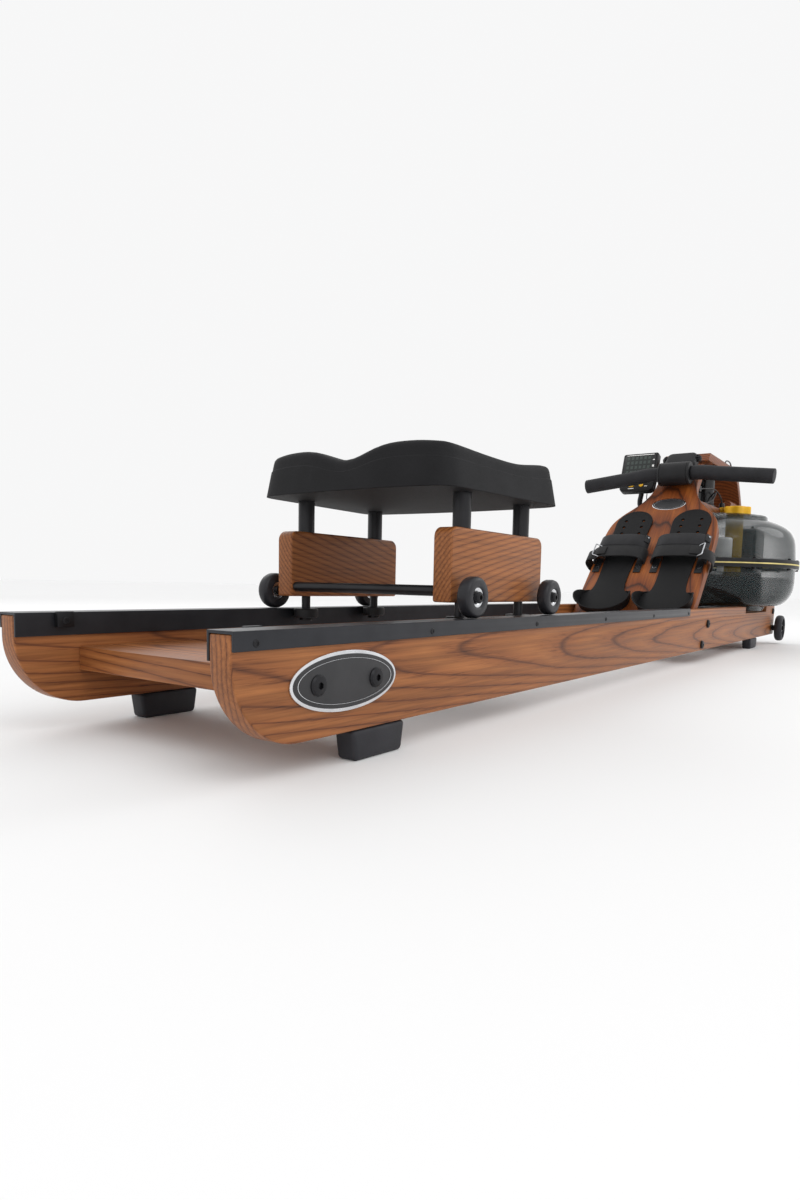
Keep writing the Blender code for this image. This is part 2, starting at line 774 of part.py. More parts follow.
def handle_path(reach, sign=0):
    """The handlebar's line out to reach on each side, or on one side only."""
    stations = [0.0, 0.060, 0.100, 0.150, 0.200, reach]
    found = []
    for y in stations:
        bend = max(y - 0.060, 0) / (HANDLE_END_Y - 0.060)
        ease = bend if bend > 0.2 else bend * bend * 5
        found.append(
            (HANDLE_X + (HANDLE_END_X - HANDLE_X) * ease, y, HANDLE_Z + (HANDLE_END_Z - HANDLE_Z) * ease),
        )
    if sign:
        return [(x, sign * y, z) for x, y, z in found]
    mirrored = [(x, -y, z) for x, y, z in reversed(found[1:])]
    return mirrored + found


def make_handle(handle):
    rod("handlebar", handle_path(HANDLE_END_Y - 0.014), HANDLE_BAR_RADIUS, BLACK_STEEL, handle, 3)
    for name, side in (("left_grip", 1), ("right_grip", -1)):
        path = [(HANDLE_X, side * (COVER_HALF_WIDTH + 0.002), HANDLE_Z)] + handle_path(HANDLE_END_Y, side)[1:]
        grip = rod(name, path, GRIP_RADIUS, BLACK_RUBBER, handle, 4)
        core = rod(name + "_core", handle_path(HANDLE_END_Y - 0.0137), HANDLE_BAR_RADIUS + 0.0005, BLACK_STEEL, handle, 3)
        boolean(grip, as_cutter(core))
    start, end = (HANDLE_X, -COVER_HALF_WIDTH, HANDLE_Z), (HANDLE_X, COVER_HALF_WIDTH, HANDLE_Z)
    cover = object_of(
        "handle_cover",
        cylinder_mesh("handle_cover", COVER_RADIUS, start, end, 32),
        BLACK_RUBBER,
        handle,
        smooth=True,
    )
    core = rod("handle_cover_core", handle_path(0.2), HANDLE_BAR_RADIUS + 0.0005, BLACK_STEEL, handle, 3)
    boolean(cover, as_cutter(core))


def make_belt():
    """The flat belt, on edge, from the back of the handle's cover through the footplate to the drum."""
    start_x = HANDLE_X + COVER_RADIUS + GAP
    guide_x = 1.700
    tangent_y = DRUM_RADIUS + GAP + BELT_THICKNESS / 2
    centre_line = [
        (start_x, 0),
        (guide_x, 0),
        (1.730, 0.004),
        (1.820, tangent_y - 0.003),
        (1.845, tangent_y),
        (TANK_X, tangent_y),
    ]
    half = BELT_THICKNESS / 2
    outline = [(x, y - half) for x, y in centre_line] + [(x, y + half) for x, y in reversed(centre_line)]
    plate("drive_belt", outline, BELT_HEIGHT, WEBBING, Matrix.Translation((0, 0, HANDLE_Z)))


def make_pulley_housing():
    """The cover over the belt's slot at the top of the footplate, and the roller behind it."""
    low_s, high_s, half_y, height = HOUSING_S[0], HOUSING_S[1], 0.040, 0.034
    outline = rounded_box_outline((-half_y, low_s), (half_y, high_s), 0.014, 4)
    housing = plate("pulley_housing", outline, height, BLACK_PLASTIC, on_footplate(GAP + height / 2))
    bevel(housing, 0.004, 2)
    cut_box(housing, *BELT_SLOT)
    radius = 0.011
    x, y = 1.700, -BELT_THICKNESS / 2 - GAP - radius
    profile = [
        (0, 0.0135),
        (radius + 0.002, 0.0135),
        (radius + 0.002, 0.0125),
        (radius, 0.0125),
        (radius, -0.0125),
        (radius + 0.002, -0.0125),
        (radius + 0.002, -0.0135),
        (0, -0.0135),
    ]
    turned("guide_pulley", profile, (x, y, HANDLE_Z), BLACK_PLASTIC, 20)


def tank_lower_outer():
    """The outer line of the lower bowl from its flange down to its foot."""
    low = TANK_JOINT_Z - GASKET_THICKNESS / 2 - GAP
    under = low - TANK_FLANGE_THICKNESS
    return [
        (TANK_FLANGE_RADIUS, low),
        (TANK_FLANGE_RADIUS, under),
        (0.2501, under - 0.004),
        (0.2501, 0.185),
        (0.2458, 0.158),
        (0.2331, 0.1351),
        (0.2136, 0.1208),
        (0.1830, 0.1180),
        (0.1780, 0.1150),
        (0.1720, TANK_FOOT_Z),
        (0, TANK_FOOT_Z),
    ]


def tank_upper_outer():
    """The outer line of the upper shell from the shaft hole in its lid down to its flange."""
    high = TANK_JOINT_Z + GASKET_THICKNESS / 2 + GAP
    over = high + TANK_FLANGE_THICKNESS
    return [
        (SHAFT_HOLE_RADIUS, LID_TOP_Z),
        (LID_RADIUS - 0.002, LID_TOP_Z),
        (LID_RADIUS, LID_TOP_Z - 0.003),
        (LID_RADIUS + 0.001, 0.3555),
        (0.1900, 0.3490),
        (0.2118, 0.3392),
        (0.2290, 0.3265),
        (0.2385, 0.3130),
        (0.2455, 0.2928),
        (0.2495, over + 0.003),
        (TANK_FLANGE_RADIUS, over),
        (TANK_FLANGE_RADIUS, high),
    ]


def make_tank():
    wall = TANK_WALL
    low = TANK_JOINT_Z - GASKET_THICKNESS / 2 - GAP
    inner = [
        (0, TANK_FOOT_Z + wall),
        (0.1700, TANK_FOOT_Z + wall),
        (0.1780, 0.1220),
        (0.2120, 0.1250),
        (0.2300, 0.1380),
        (0.2418, 0.1590),
        (0.2460, 0.185),
        (0.2460, low),
    ]
    turned("tank_lower_shell", inner + tank_lower_outer(), (TANK_X, 0, 0), SMOKY_TANK, TANK_SIDES)

    high = TANK_JOINT_Z + GASKET_THICKNESS / 2 + GAP
    inner = [
        (0.2455, high),
        (0.2415, 0.2925),
        (0.2345, 0.3115),
        (0.2260, 0.3235),
        (0.2100, 0.3355),
        (0.1890, 0.3450),
        (0.1660, 0.3525),
        (0.1655, LID_TOP_Z - wall),
        (SHAFT_HOLE_RADIUS, LID_TOP_Z - wall),
    ]
    upper = turned("tank_upper_shell", tank_upper_outer() + inner, (TANK_X, 0, 0), SMOKY_TANK, TANK_SIDES)
    cut_hole(upper, COLUMN_RADIUS + 0.002, (TANK_X, KNOB_Y, 0.34), (TANK_X, KNOB_Y, 0.39), 24)

    half = GASKET_THICKNESS / 2
    ring = [
        (GASKET_RADIUS, TANK_JOINT_Z + half),
        (GASKET_RADIUS, TANK_JOINT_Z - half),
        (0.2470, TANK_JOINT_Z - half),
        (0.2470, TANK_JOINT_Z + half),
    ]
    turned("tank_gasket", ring, (TANK_X, 0, 0), GASKET_YELLOW, TANK_SIDES)

    bottom = TANK_FOOT_Z + wall + GAP
    ring = [
        (INNER_TANK_RADIUS, INNER_TANK_TOP_Z),
        (INNER_TANK_RADIUS, bottom),
        (INNER_TANK_RADIUS - 0.003, bottom),
        (INNER_TANK_RADIUS - 0.003, INNER_TANK_TOP_Z - 0.003),
        (INNER_TANK_RADIUS - 0.020, INNER_TANK_TOP_Z - 0.003),
        (INNER_TANK_RADIUS - 0.020, INNER_TANK_TOP_Z),
    ]
    turned("inner_tank_wall", ring, (TANK_X, 0, 0), BLACK_PLASTIC, TANK_SIDES)


def make_selector(selector):
    """The lobed yellow knob with the column that it turns inside the tank."""
    steps = KNOB_LOBES * 8
    outline = []
    for step in range(steps):
        angle = 2 * math.pi * step / steps
        radius = KNOB_RADIUS - KNOB_LOBE + KNOB_LOBE * math.cos(KNOB_LOBES * angle)
        outline.append((radius * math.cos(angle), radius * math.sin(angle)))
    middle_z = sum(KNOB_Z) / 2
    knob = plate(
        "selector_knob",
        outline,
        KNOB_Z[1] - KNOB_Z[0],
        KNOB_YELLOW,
        Matrix.Translation((0, 0, middle_z)),
        selector,
    )
    start, end = (0, 0, 0.185), (0, 0, KNOB_Z[0] + 0.002)
    column = object_of("column", cylinder_mesh("column", COLUMN_RADIUS, start, end, 24), None, selector)
    boolean(knob, as_cutter(column), "UNION")


def make_impeller(impeller):
    """The paddle wheel on its vertical shaft."""
    start, end = (0, 0, 0.1100), (0, 0, DRUM_Z[0] - GAP)
    made = object_of(
        "impeller",
        cylinder_mesh("impeller", SHAFT_RADIUS, start, end, 16),
        PALE_PLASTIC,
        impeller,
    )
    hub = object_of("hub", cylinder_mesh("hub", 0.020, (0, 0, 0.118), (0, 0, 0.176), 16), None, impeller)
    boolean(made, as_cutter(hub), "UNION")
    for blade in range(3):
        mesh = box_mesh("blade", (-0.150, -0.002, 0.124), (0.150, 0.002, 0.170))
        paddle = object_of(f"paddle_{blade}", mesh, None, impeller)
        paddle.rotation_euler = (0, 0, math.radians(60 * blade))
        boolean(made, as_cutter(paddle), "UNION")


def make_drum(drum):
    low, high = DRUM_Z
    profile = [
        (0, high),
        (DRUM_RADIUS - 0.002, high),
        (DRUM_RADIUS, high - 0.002),
        (DRUM_RADIUS, low + 0.012),
        (DRUM_RADIUS + 0.005, low + 0.010),
        (DRUM_RADIUS + 0.005, low),
        (0, low),
    ]
    turned("belt_drum", profile, (0, 0, 0), BLACK_PLASTIC, 28, drum)


def make_console(console):
    """The monitor, in the frame of its tilt pin, with two ears behind it that the pin passes between."""
    depth, width, height = CONSOLE_SIZE
    tilt = Matrix.Rotation(CONSOLE_TILT, 4, "Y") @ Matrix.Translation((-CONSOLE_PIN_BEHIND, 0, 0))
    outline = rounded_box_outline((-width / 2, -height / 2), (width / 2, height / 2), 0.010, 3)
    facing = Matrix(((0, 0, 1), (1, 0, 0), (0, 1, 0))).to_4x4()
    housing = plate("console_housing", outline, depth, BLACK_PLASTIC, tilt @ facing, console)
    for side in (-1, 1):
        near, far = CONSOLE_EAR_Y
        low = (depth / 2 - 0.003, min(side * near, side * far), -0.009)
        high = (CONSOLE_PIN_BEHIND + 0.008, max(side * near, side * far), 0.009)
        ear = object_of("console_ear", box_mesh("console_ear", low, high), None, console)
        ear.matrix_basis = tilt
        boolean(housing, as_cutter(ear), "UNION")
    for name, y in (("left_console_button", 0.014), ("right_console_button", -0.014)):
        centre = Vector((-depth / 2, y, -height / 2 + 0.016))
        start, end = centre - Vector((0.010, 0, 0)), centre + Vector((0.006, 0, 0))
        pocket = object_of(name + "_pocket", cylinder_mesh("pocket", 0.0068, start, end, 16), None, console)
        pocket.matrix_basis = tilt
        boolean(housing, as_cutter(pocket))
        start, end = centre + Vector((0.0035, 0, 0)), centre - Vector((0.0022, 0, 0))
        button = object_of(name, cylinder_mesh(name, 0.0062, start, end, 16), KNOB_YELLOW, console)
        button.matrix_basis = tilt


def console_pin_place():
    """The middle of the tilt pin, behind the monitor."""
    x, y, z = CONSOLE_CENTRE
    reach = Matrix.Rotation(CONSOLE_TILT, 3, "Y") @ Vector((CONSOLE_PIN_BEHIND, 0, 0))
    return (x + reach.x, y, z + reach.z)


def make_console_arm():
    """The bent tube from the bridge's base up to the tilt pin behind the monitor."""
    x, y, z = console_pin_place()
    root = FOOTPLATE_NECK_HALF_WIDTH + GAP
    path = [
        (x + 0.040, root, 0.379),
        (x + 0.040, root + 0.018, 0.379),
        (x + 0.034, 0.088, 0.3775),
        (x + 0.031, 0.112, 0.378),
        (x + 0.025, 0.132, 0.386),
        (x + 0.020, 0.136, 0.402),
        (x + 0.017, 0.132, 0.422),
        (x + 0.008, 0.126, 0.447),
        (x, y, z),
    ]
    arm = rod("console_arm", smooth_path(path, 3), ARM_RADIUS, BLACK_STEEL, machine, 2)
    half = CONSOLE_EAR_Y[0] - GAP
    pin = object_of(
        "arm_pin",
        cylinder_mesh("arm_pin", 0.0075, (x, y - half, z), (x, y + half, z), 16),
        None,
    )
    boolean(arm, as_cutter(pin), "UNION")


def heel_curve(centre, half_width, depth, start, end):
    """Points along the heel's half ellipse, with its angles in degrees."""
    turns = (math.radians(start + (end - start) * step / 12) for step in range(13))
    return [(centre + half_width * math.cos(turn), HEEL_S + depth * math.sin(turn)) for turn in turns]


def make_footbed(side_name, side):
    """A flexible bed with a round toe and a scoop for the heel. It lies on the footplate and slides along it."""
    centre = side * FOOTBED_Y
    waist = [(0.062, 0.028), (0.042, 0.040), (0.036, 0.090)]
    sole_outline = (
        [(centre + y, s) for y, s in waist]
        + arc((centre, TOE_S), TOE_HALF_WIDTH, 0, 180, 10)
        + [(centre - y, s) for y, s in reversed(waist)]
        + heel_curve(centre, HEEL_HALF_WIDTH, HEEL_DEPTH, 180, 360)
    )
    name = f"{side_name}_footbed"
    bed = plate(name, sole_outline, SOLE_THICKNESS, BLACK_RUBBER, on_footplate(GAP + SOLE_THICKNESS / 2))
    half, depth = HEEL_HALF_WIDTH - 0.0005, HEEL_DEPTH - 0.0005
    outer = heel_curve(centre, half, depth, 0, -180)
    inner = heel_curve(centre, half - HEEL_WALL, depth - HEEL_WALL, -180, 0)
    ends = [(half, 0.025), (-half, 0.025), (HEEL_WALL - half, 0.025), (half - HEEL_WALL, 0.025)]
    ends = [(centre + y, s) for y, s in ends]
    cup_outline = [ends[0]] + outer + ends[1:3] + inner + [ends[3]]
    place = on_footplate(GAP + 0.001 + HEEL_HEIGHT / 2)
    cup = plate(name + "_cup", cup_outline, HEEL_HEIGHT, BLACK_RUBBER, place)
    boolean(bed, as_cutter(cup), "UNION")
    return bed


def make_strap(side_name, side):
    """A wide strap arched over the footbed, with its ends fixed to the footplate by tabs."""
    centre = side * FOOTBED_Y
    thickness = 0.003
    outer_line = [(-0.064, 0.0004), (-0.064, 0.008), (-0.058, 0.021), (-0.042, 0.029), (0.0, 0.031)]
    outer_line += [(-y, n) for y, n in reversed(outer_line[:-1])]
    inner_line = []
    for index, point in enumerate(outer_line):
        before = Vector(outer_line[max(index - 1, 0)])
        after = Vector(outer_line[min(index + 1, len(outer_line) - 1)])
        along = (after - before).normalized()
        inner_line.append((point[0] + along.y * thickness, point[1] - along.x * thickness))
    inner_line[0] = (inner_line[0][0], outer_line[0][1])
    inner_line[-1] = (inner_line[-1][0], outer_line[-1][1])
    outline = outer_line + list(reversed(inner_line))
    low_s, high_s = STRAP_S
    place = Matrix((Vector((0, 1, 0)), FACE_OUT, SLOPE)).transposed().to_4x4()
    place = Matrix.Translation(face_point(centre, (low_s + high_s) / 2, 0)) @ place
    plate(f"{side_name}_foot_strap", outline, high_s - low_s, WEBBING, place)


def make_transport_wheels():
    for side_name, side in (("left", 1), ("right", -1)):
        half = TRANSPORT_WIDTH / 2
        profile = [
            (0, half + 0.006),
            (0.006, half + 0.006),
            (0.006, half + 0.001),
            (0.014, half + 0.001),
            (0.022, half - 0.003),
            (TRANSPORT_RADIUS - 0.006, half),
            (TRANSPORT_RADIUS, half - 0.006),
            (TRANSPORT_RADIUS, -half + 0.006),
            (TRANSPORT_RADIUS - 0.006, -half),
            (0.014, -half),
            (0.010, -half - 0.008),
            (0, -half - 0.008),
        ]
        place = (TRANSPORT_X, side * TRANSPORT_Y, TRANSPORT_Z)
        wheel = turned(f"{side_name}_transport_wheel", profile, place, WHEEL_TYRE, 26)
        wheel.rotation_euler = (math.radians(-90 if side > 0 else 90), 0, 0)


def make_shock_cord():
    """The elastic return cord: from the drum over the bridge's base, down behind the footplate, to the rear."""
    hole_x, hole_y = CORD_HOLE
    over_tank = [
        (1.872, -0.0278, 0.440),
        (1.850, -0.0300, 0.428),
        (1.810, -0.0300, 0.4080),
        (1.740, -0.0220, 0.3965),
        (1.640, -0.0160, 0.3965),
        (hole_x + 0.008, hole_y, 0.3945),
        (hole_x, hole_y, 0.3860),
        (hole_x, hole_y, 0.3640),
    ]
    to_the_rear = [
        (1.585, -0.0140, 0.320),
        (1.540, -0.0100, 0.240),
        (1.490, -0.0050, 0.150),
        (1.440, 0.0000, 0.080),
        (1.360, 0.0000, 0.0300),
        (1.250, 0.0000, 0.0150),
        (0.800, 0.0000, 0.0300),
        (0.300, 0.0000, 0.0500),
        (0.150, 0.0000, 0.0540),
    ]
    rod("shock_cord", smooth_path(over_tank + to_the_rear, 3), CORD_RADIUS, WEBBING, machine, 2)


carriage_frame = empty("seat_carriage", (0, 0, 0), machine)
handle_frame = empty("handle", (0, 0, 0), machine)
selector_frame = empty("selector", (TANK_X, KNOB_Y, 0), machine)
shaft_frame = empty("tank_shaft", (TANK_X, 0, 0), machine)
console_frame = empty("console", console_pin_place(), machine)

make_boards()
make_rails()
make_crossboards()
make_feet()
make_footplate()
make_bridge()
make_carriage(carriage_frame)
make_handle(handle_frame)
make_belt()
make_pulley_housing()
make_tank()
make_selector(selector_frame)
make_impeller(shaft_frame)
make_drum(shaft_frame)
make_console(console_frame)
make_console_arm()
for foot_name, foot_side in (("left", 1), ("right", -1)):
    make_footbed(foot_name, foot_side)
    make_strap(foot_name, foot_side)
make_transport_wheels()
make_shock_cord()
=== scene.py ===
"""Looks for the water rowing machine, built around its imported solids. Metres, +X towards the tank, +Z up."""

import math

import bmesh
import bpy
from mathutils import Matrix, Vector


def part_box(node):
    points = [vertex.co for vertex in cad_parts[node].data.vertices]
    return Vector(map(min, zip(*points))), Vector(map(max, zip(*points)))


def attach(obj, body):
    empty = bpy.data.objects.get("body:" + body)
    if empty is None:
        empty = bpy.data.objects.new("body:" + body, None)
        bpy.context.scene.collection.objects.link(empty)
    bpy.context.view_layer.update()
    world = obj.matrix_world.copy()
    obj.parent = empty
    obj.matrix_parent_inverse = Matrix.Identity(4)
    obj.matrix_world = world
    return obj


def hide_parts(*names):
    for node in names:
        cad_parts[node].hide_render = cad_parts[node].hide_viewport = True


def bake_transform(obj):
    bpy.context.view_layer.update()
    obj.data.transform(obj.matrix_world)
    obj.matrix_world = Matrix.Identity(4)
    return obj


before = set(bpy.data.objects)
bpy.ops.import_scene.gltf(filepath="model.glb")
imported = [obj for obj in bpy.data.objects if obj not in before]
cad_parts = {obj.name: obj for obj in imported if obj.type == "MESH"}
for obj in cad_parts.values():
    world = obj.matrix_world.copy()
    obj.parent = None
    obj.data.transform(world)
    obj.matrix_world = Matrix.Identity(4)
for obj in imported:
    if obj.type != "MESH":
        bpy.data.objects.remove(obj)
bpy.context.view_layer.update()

# Studio: a pale floor, a pale surround and three large soft lamps, with the camera low behind the right tail.
# The machine stands on the floor at height zero.
REAR_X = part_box("left_side_board")[0].x
CAMERA_PLACE = (REAR_X - 0.336443, -0.569642, 0.156328)
CAMERA_AZIMUTH = math.radians(34.0216)
CAMERA_ELEVATION = math.radians(-5.6139)
CAMERA_ROLL = math.radians(1.4297)
CAMERA_LENS = 21.6875
CAMERA_SHIFT = (-0.03356, 0.04621)

scene = bpy.context.scene
scene.view_settings.view_transform = "Standard"
scene.view_settings.look = "None"

aim = Vector(
    (
        math.cos(CAMERA_ELEVATION) * math.cos(CAMERA_AZIMUTH),
        math.cos(CAMERA_ELEVATION) * math.sin(CAMERA_AZIMUTH),
        math.sin(CAMERA_ELEVATION),
    )
)
level_right = aim.cross(Vector((0, 0, 1))).normalized()
level_up = level_right.cross(aim)
camera_right = math.cos(CAMERA_ROLL) * level_right + math.sin(CAMERA_ROLL) * level_up
camera_up = math.cos(CAMERA_ROLL) * level_up - math.sin(CAMERA_ROLL) * level_right
camera = bpy.data.objects.new("camera", bpy.data.cameras.new("camera"))
camera.matrix_world = Matrix.Translation(CAMERA_PLACE) @ Matrix((camera_right, camera_up, -aim)).transposed().to_4x4()
camera.data.sensor_width = 36
camera.data.lens = CAMERA_LENS
camera.data.shift_x, camera.data.shift_y = CAMERA_SHIFT
camera.data.clip_start = 0.01
scene.collection.objects.link(camera)
scene.camera = camera


def new_material(name):
    """A material, a maker of its linked nodes, a way into its shader, and the piece's own coordinates."""
    made = bpy.data.materials.new(name)
    made.use_nodes = True
    nodes, links = made.node_tree.nodes, made.node_tree.links
    shader = nodes["Principled BSDF"]

    def add(kind, settings=None, **inputs):
        node = nodes.new(kind)
        for key, value in (settings or {}).items():
            setattr(node, key, value)
        for key, value in inputs.items():
            by_number = key[0] == "i" and key[1:].isdigit()
            socket = node.inputs[int(key[1:]) if by_number else key.replace("_", " ")]
            if isinstance(value, bpy.types.NodeSocket):
                links.new(value, socket)
            else:
                socket.default_value = value
        return node

    def into(socket_name, value):
        if isinstance(value, bpy.types.NodeSocket):
            links.new(value, shader.inputs[socket_name])
        else:
            shader.inputs[socket_name].default_value = value

    return made, add, into, add("ShaderNodeTexCoord").outputs["Object"]


def linear(red, green, blue):
    """A colour given in the usual 0 to 255 scale, as the shader wants it."""
    shares = (c / 255 for c in (red, green, blue))
    return tuple(((c + 0.055) / 1.055) ** 2.4 if c > 0.0405 else c / 12.92 for c in shares) + (1.0,)


def shades(add, factor, stops):
    """A colour ramp from pairs of place and colour."""
    node = add("ShaderNodeValToRGB", i0=factor)
    ramp = node.color_ramp
    while len(ramp.elements) < len(stops):
        ramp.elements.new(0.5)
    for element, (place, colour) in zip(ramp.elements, stops):
        element.position = place
        element.color = colour
    return node.outputs["Color"]


def greys(add, factor, *stops):
    """A ramp of plain shares or greys, from pairs of place and value."""
    return shades(add, factor, [(place, (value, value, value, 1)) for place, value in stops])


def noise(add, place, scale, detail, roughness=0.5):
    node = add("ShaderNodeTexNoise", Vector=place, Scale=scale, Detail=detail, Roughness=roughness)
    return node.outputs["Fac"]


def stretched(add, place, scale):
    return add("ShaderNodeMapping", Vector=place, Scale=scale).outputs["Vector"]


def maths(add, operation, first, second):
    return add("ShaderNodeMath", {"operation": operation}, i0=first, i1=second).outputs[0]


def times(add, colour, shade, share):
    """A colour multiplied by another over a share of the surface."""
    multiplied = {"data_type": "RGBA", "blend_type": "MULTIPLY"}
    return add("ShaderNodeMix", multiplied, i0=share, i6=colour, i7=shade).outputs[2]


def deselect():
    if bpy.context.mode != "OBJECT":
        bpy.ops.object.mode_set(mode="OBJECT")
    bpy.ops.object.select_all(action="DESELECT")


def only(piece):
    deselect()
    piece.select_set(True)
    bpy.context.view_layer.objects.active = piece
    return piece


def named(name):
    piece = bpy.context.object
    piece.name = name
    piece.data.name = name
    return piece


def settle(piece):
    """The piece's place goes into its mesh."""
    only(piece)
    bpy.ops.object.transform_apply(location=True, rotation=True, scale=True)
    return piece


def apply_modifier(piece, kind, **settings):
    only(piece)
    modifier = piece.modifiers.new(kind.lower(), kind)
    for key, value in settings.items():
        setattr(modifier, key, value)
    bpy.ops.object.modifier_apply(modifier=modifier.name)
    return piece


def soften(piece, width, segments=2, angle=35):
    edges = {"limit_method": "ANGLE", "angle_limit": math.radians(angle), "harden_normals": False}
    return apply_modifier(piece, "BEVEL", width=width, segments=segments, **edges)


def dress(piece, material, body, slot, *replaced, smooth=35):
    """The finish, the body that the piece moves with, its slot, which is not used, and the solids that it stands for.
    """
    settle(piece)
    if smooth:
        bpy.ops.object.shade_smooth_by_angle(angle=math.radians(smooth))
    piece.data.materials.clear()
    piece.data.materials.append(material)
    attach(piece, body)
    if replaced:
        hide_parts(*replaced)
    return piece


def named_as(piece, name):
    piece.name = name
    piece.data.name = name
    return piece


def join(first, *others):
    """Several shells made one piece."""
    only(first)
    for other in others:
        other.select_set(True)
    bpy.ops.object.join()
    return first


def floor_material():
    made, add, into, place = new_material("pale_floor")
    cloud = noise(add, place, 0.7, 3.0)
    tone = greys(add, cloud, (0.0, 0.97), (1.0, 1.0))
    # Painted light: the floor's colour is darker close to the machine and paler far from it, so the floor fades into
    # the surround.
    away = add("ShaderNodeVectorMath", {"operation": "LENGTH"}, i0=place).outputs["Value"]
    share = maths(add, "MULTIPLY", away, 0.1)
    painted_lighter_far = greys(add, share, (0.12, 0.89), (0.55, 0.985))
    into("Base Color", times(add, painted_lighter_far, tone, 1.0))
    into("Specular IOR Level", 0.1)
    into("Roughness", 0.7)
    return made


deselect()
bpy.ops.mesh.primitive_plane_add(size=40, location=(0, 0, 0))
floor = named("floor")
floor.data.materials.append(floor_material())

surround = bpy.data.worlds.new("surround")
surround.use_nodes = True
surround.node_tree.nodes["Background"].inputs["Color"].default_value = (0.932, 0.932, 0.934, 1)
surround.node_tree.nodes["Background"].inputs["Strength"].default_value = 1.0
scene.world = surround
for lamp_name, place, aimed_at, size, power in (
    ("key_lamp", (-1.6, -2.4, 2.6), (0.0, 0.0, 0.2), 2.2, 24),
    ("tank_lamp", (2.6, -1.9, 2.2), (0.7, 0.0, 0.3), 1.8, 16),
    ("back_lamp", (0.4, 2.8, 2.4), (0.2, 0.0, 0.3), 2.6, 14),
):
    lamp = bpy.data.objects.new(lamp_name, bpy.data.lights.new(lamp_name, "AREA"))
    lamp.data.shape = "DISK"
    lamp.data.size = size
    lamp.data.energy = power
    lamp.location = place
    lamp.rotation_euler = (Vector(aimed_at) - Vector(place)).to_track_quat("-Z", "Y").to_euler()
    scene.collection.objects.link(lamp)


# Side boards: solid ash, stained red-brown under a satin lacquer, with a round tail and softly broken edges. The
# boards were sawn flat from the log, so their faces show tall arches of grain and their ends show the rings.
BOARD_OUTER_Y = 0.1652
BOARD_INNER_Y = 0.1413
BOARD_BOTTOM_Z = 0.0285
BOARD_TOP_Z = 0.1172
BOARD_LENGTH = 2.120
TAIL_RADIUS = 0.0686
NOSE_RADIUS = 0.006
NOTCH_X = (1.700, 1.985)
NOTCH_FLOOR_Z = 0.100


def wood(
    name, heart, tilt, turn=(0.0, 0.0, 0.0), pale=(162, 104, 58), mid=(144, 88, 48), line=(98, 56, 31), ring=0.0052
):
    """Lacquered ash. The rings of the log run about its heart, a line at that place that leans by tilt."""
    made, add, into, place = new_material(name)
    turned = add("ShaderNodeMapping", {"vector_type": "TEXTURE"}, Vector=place, Rotation=turn).outputs["Vector"]
    log = add(
        "ShaderNodeMapping", {"vector_type": "TEXTURE"}, Vector=turned, Location=heart, Rotation=tilt
    ).outputs["Vector"]
    long_way = stretched(add, log, (1.1, 6.0, 6.0))
    wander = add("ShaderNodeTexNoise", Vector=long_way, Scale=1.0, Detail=3.0, Roughness=0.55).outputs["Color"]
    centred = add("ShaderNodeVectorMath", {"operation": "SUBTRACT"}, i0=wander, i1=(0.5, 0.5, 0.5)).outputs["Vector"]
    drift = add(
        "ShaderNodeVectorMath", {"operation": "MULTIPLY"}, i0=centred, i1=(0.0, 0.016, 0.016)
    ).outputs["Vector"]
    bent = add("ShaderNodeVectorMath", {"operation": "ADD"}, i0=log, i1=drift).outputs["Vector"]
    across = stretched(add, bent, (0.0, 1.0, 1.0))
    rings = add(
        "ShaderNodeTexWave",
        {"wave_type": "RINGS", "rings_direction": "X", "wave_profile": "SAW"},
        Vector=across, Scale=0.314 / ring, Distortion=0.7, Detail=2.0,
    ).outputs["Fac"]
    fibre_way = stretched(add, turned, (7.0, 300.0, 300.0))
    fibre = noise(add, fibre_way, 1.0, 4.0, 0.6)
    pore_way = stretched(add, turned, (34.0, 900.0, 900.0))
    pore = noise(add, pore_way, 1.0, 1.0)
    cloud_way = stretched(add, turned, (2.2, 12.0, 12.0))
    cloud = noise(add, cloud_way, 1.0, 2.0)
    ring_colour = shades(
        add, rings, [
            (0.0, linear(*line)), (0.07, linear(*mid)), (0.45, linear(*pale)), (0.90, linear(*mid)),
            (1.0, linear(*line))
        ]
    )
    fibre_shade = shades(add, fibre, [(0.30, (0.66, 0.62, 0.58, 1)), (0.70, (1.16, 1.15, 1.14, 1))])
    with_fibre = times(add, ring_colour, fibre_shade, 1.0)
    near_line = greys(add, rings, (0.0, 1), (0.35, 0.25), (0.7, 0.1), (1.0, 1))
    pores = greys(add, pore, (0.34, 1), (0.42, 0))
    pore_share = maths(add, "MULTIPLY", pores, near_line)
    with_pores = times(add, with_fibre, (0.55, 0.48, 0.44, 1), pore_share)
    cloud_shade = shades(add, cloud, [(0.3, (0.90, 0.88, 0.87, 1)), (0.7, (1.07, 1.06, 1.05, 1))])
    colour = times(add, with_pores, cloud_shade, 1.0)
    into("Base Color", colour)
    into("Roughness", greys(add, fibre, (0.2, 0.40), (0.8, 0.52)))
    into("Specular IOR Level", 0.32)
    into("Coat Weight", 0.06)
    into("Coat Roughness", 0.3)
    depth = maths(add, "SUBTRACT", fibre, pore_share)
    into("Normal", add("ShaderNodeBump", Strength=0.25, Distance=0.0004, Height=depth).outputs["Normal"])
    return made


def arc(centre, radius, start, end, steps=8):
    """Points along an arc, with its angles in degrees."""
    turns = (math.radians(start + (end - start) * step / steps) for step in range(steps + 1))
    return [(centre[0] + radius * math.cos(turn), centre[1] + radius * math.sin(turn)) for turn in turns]


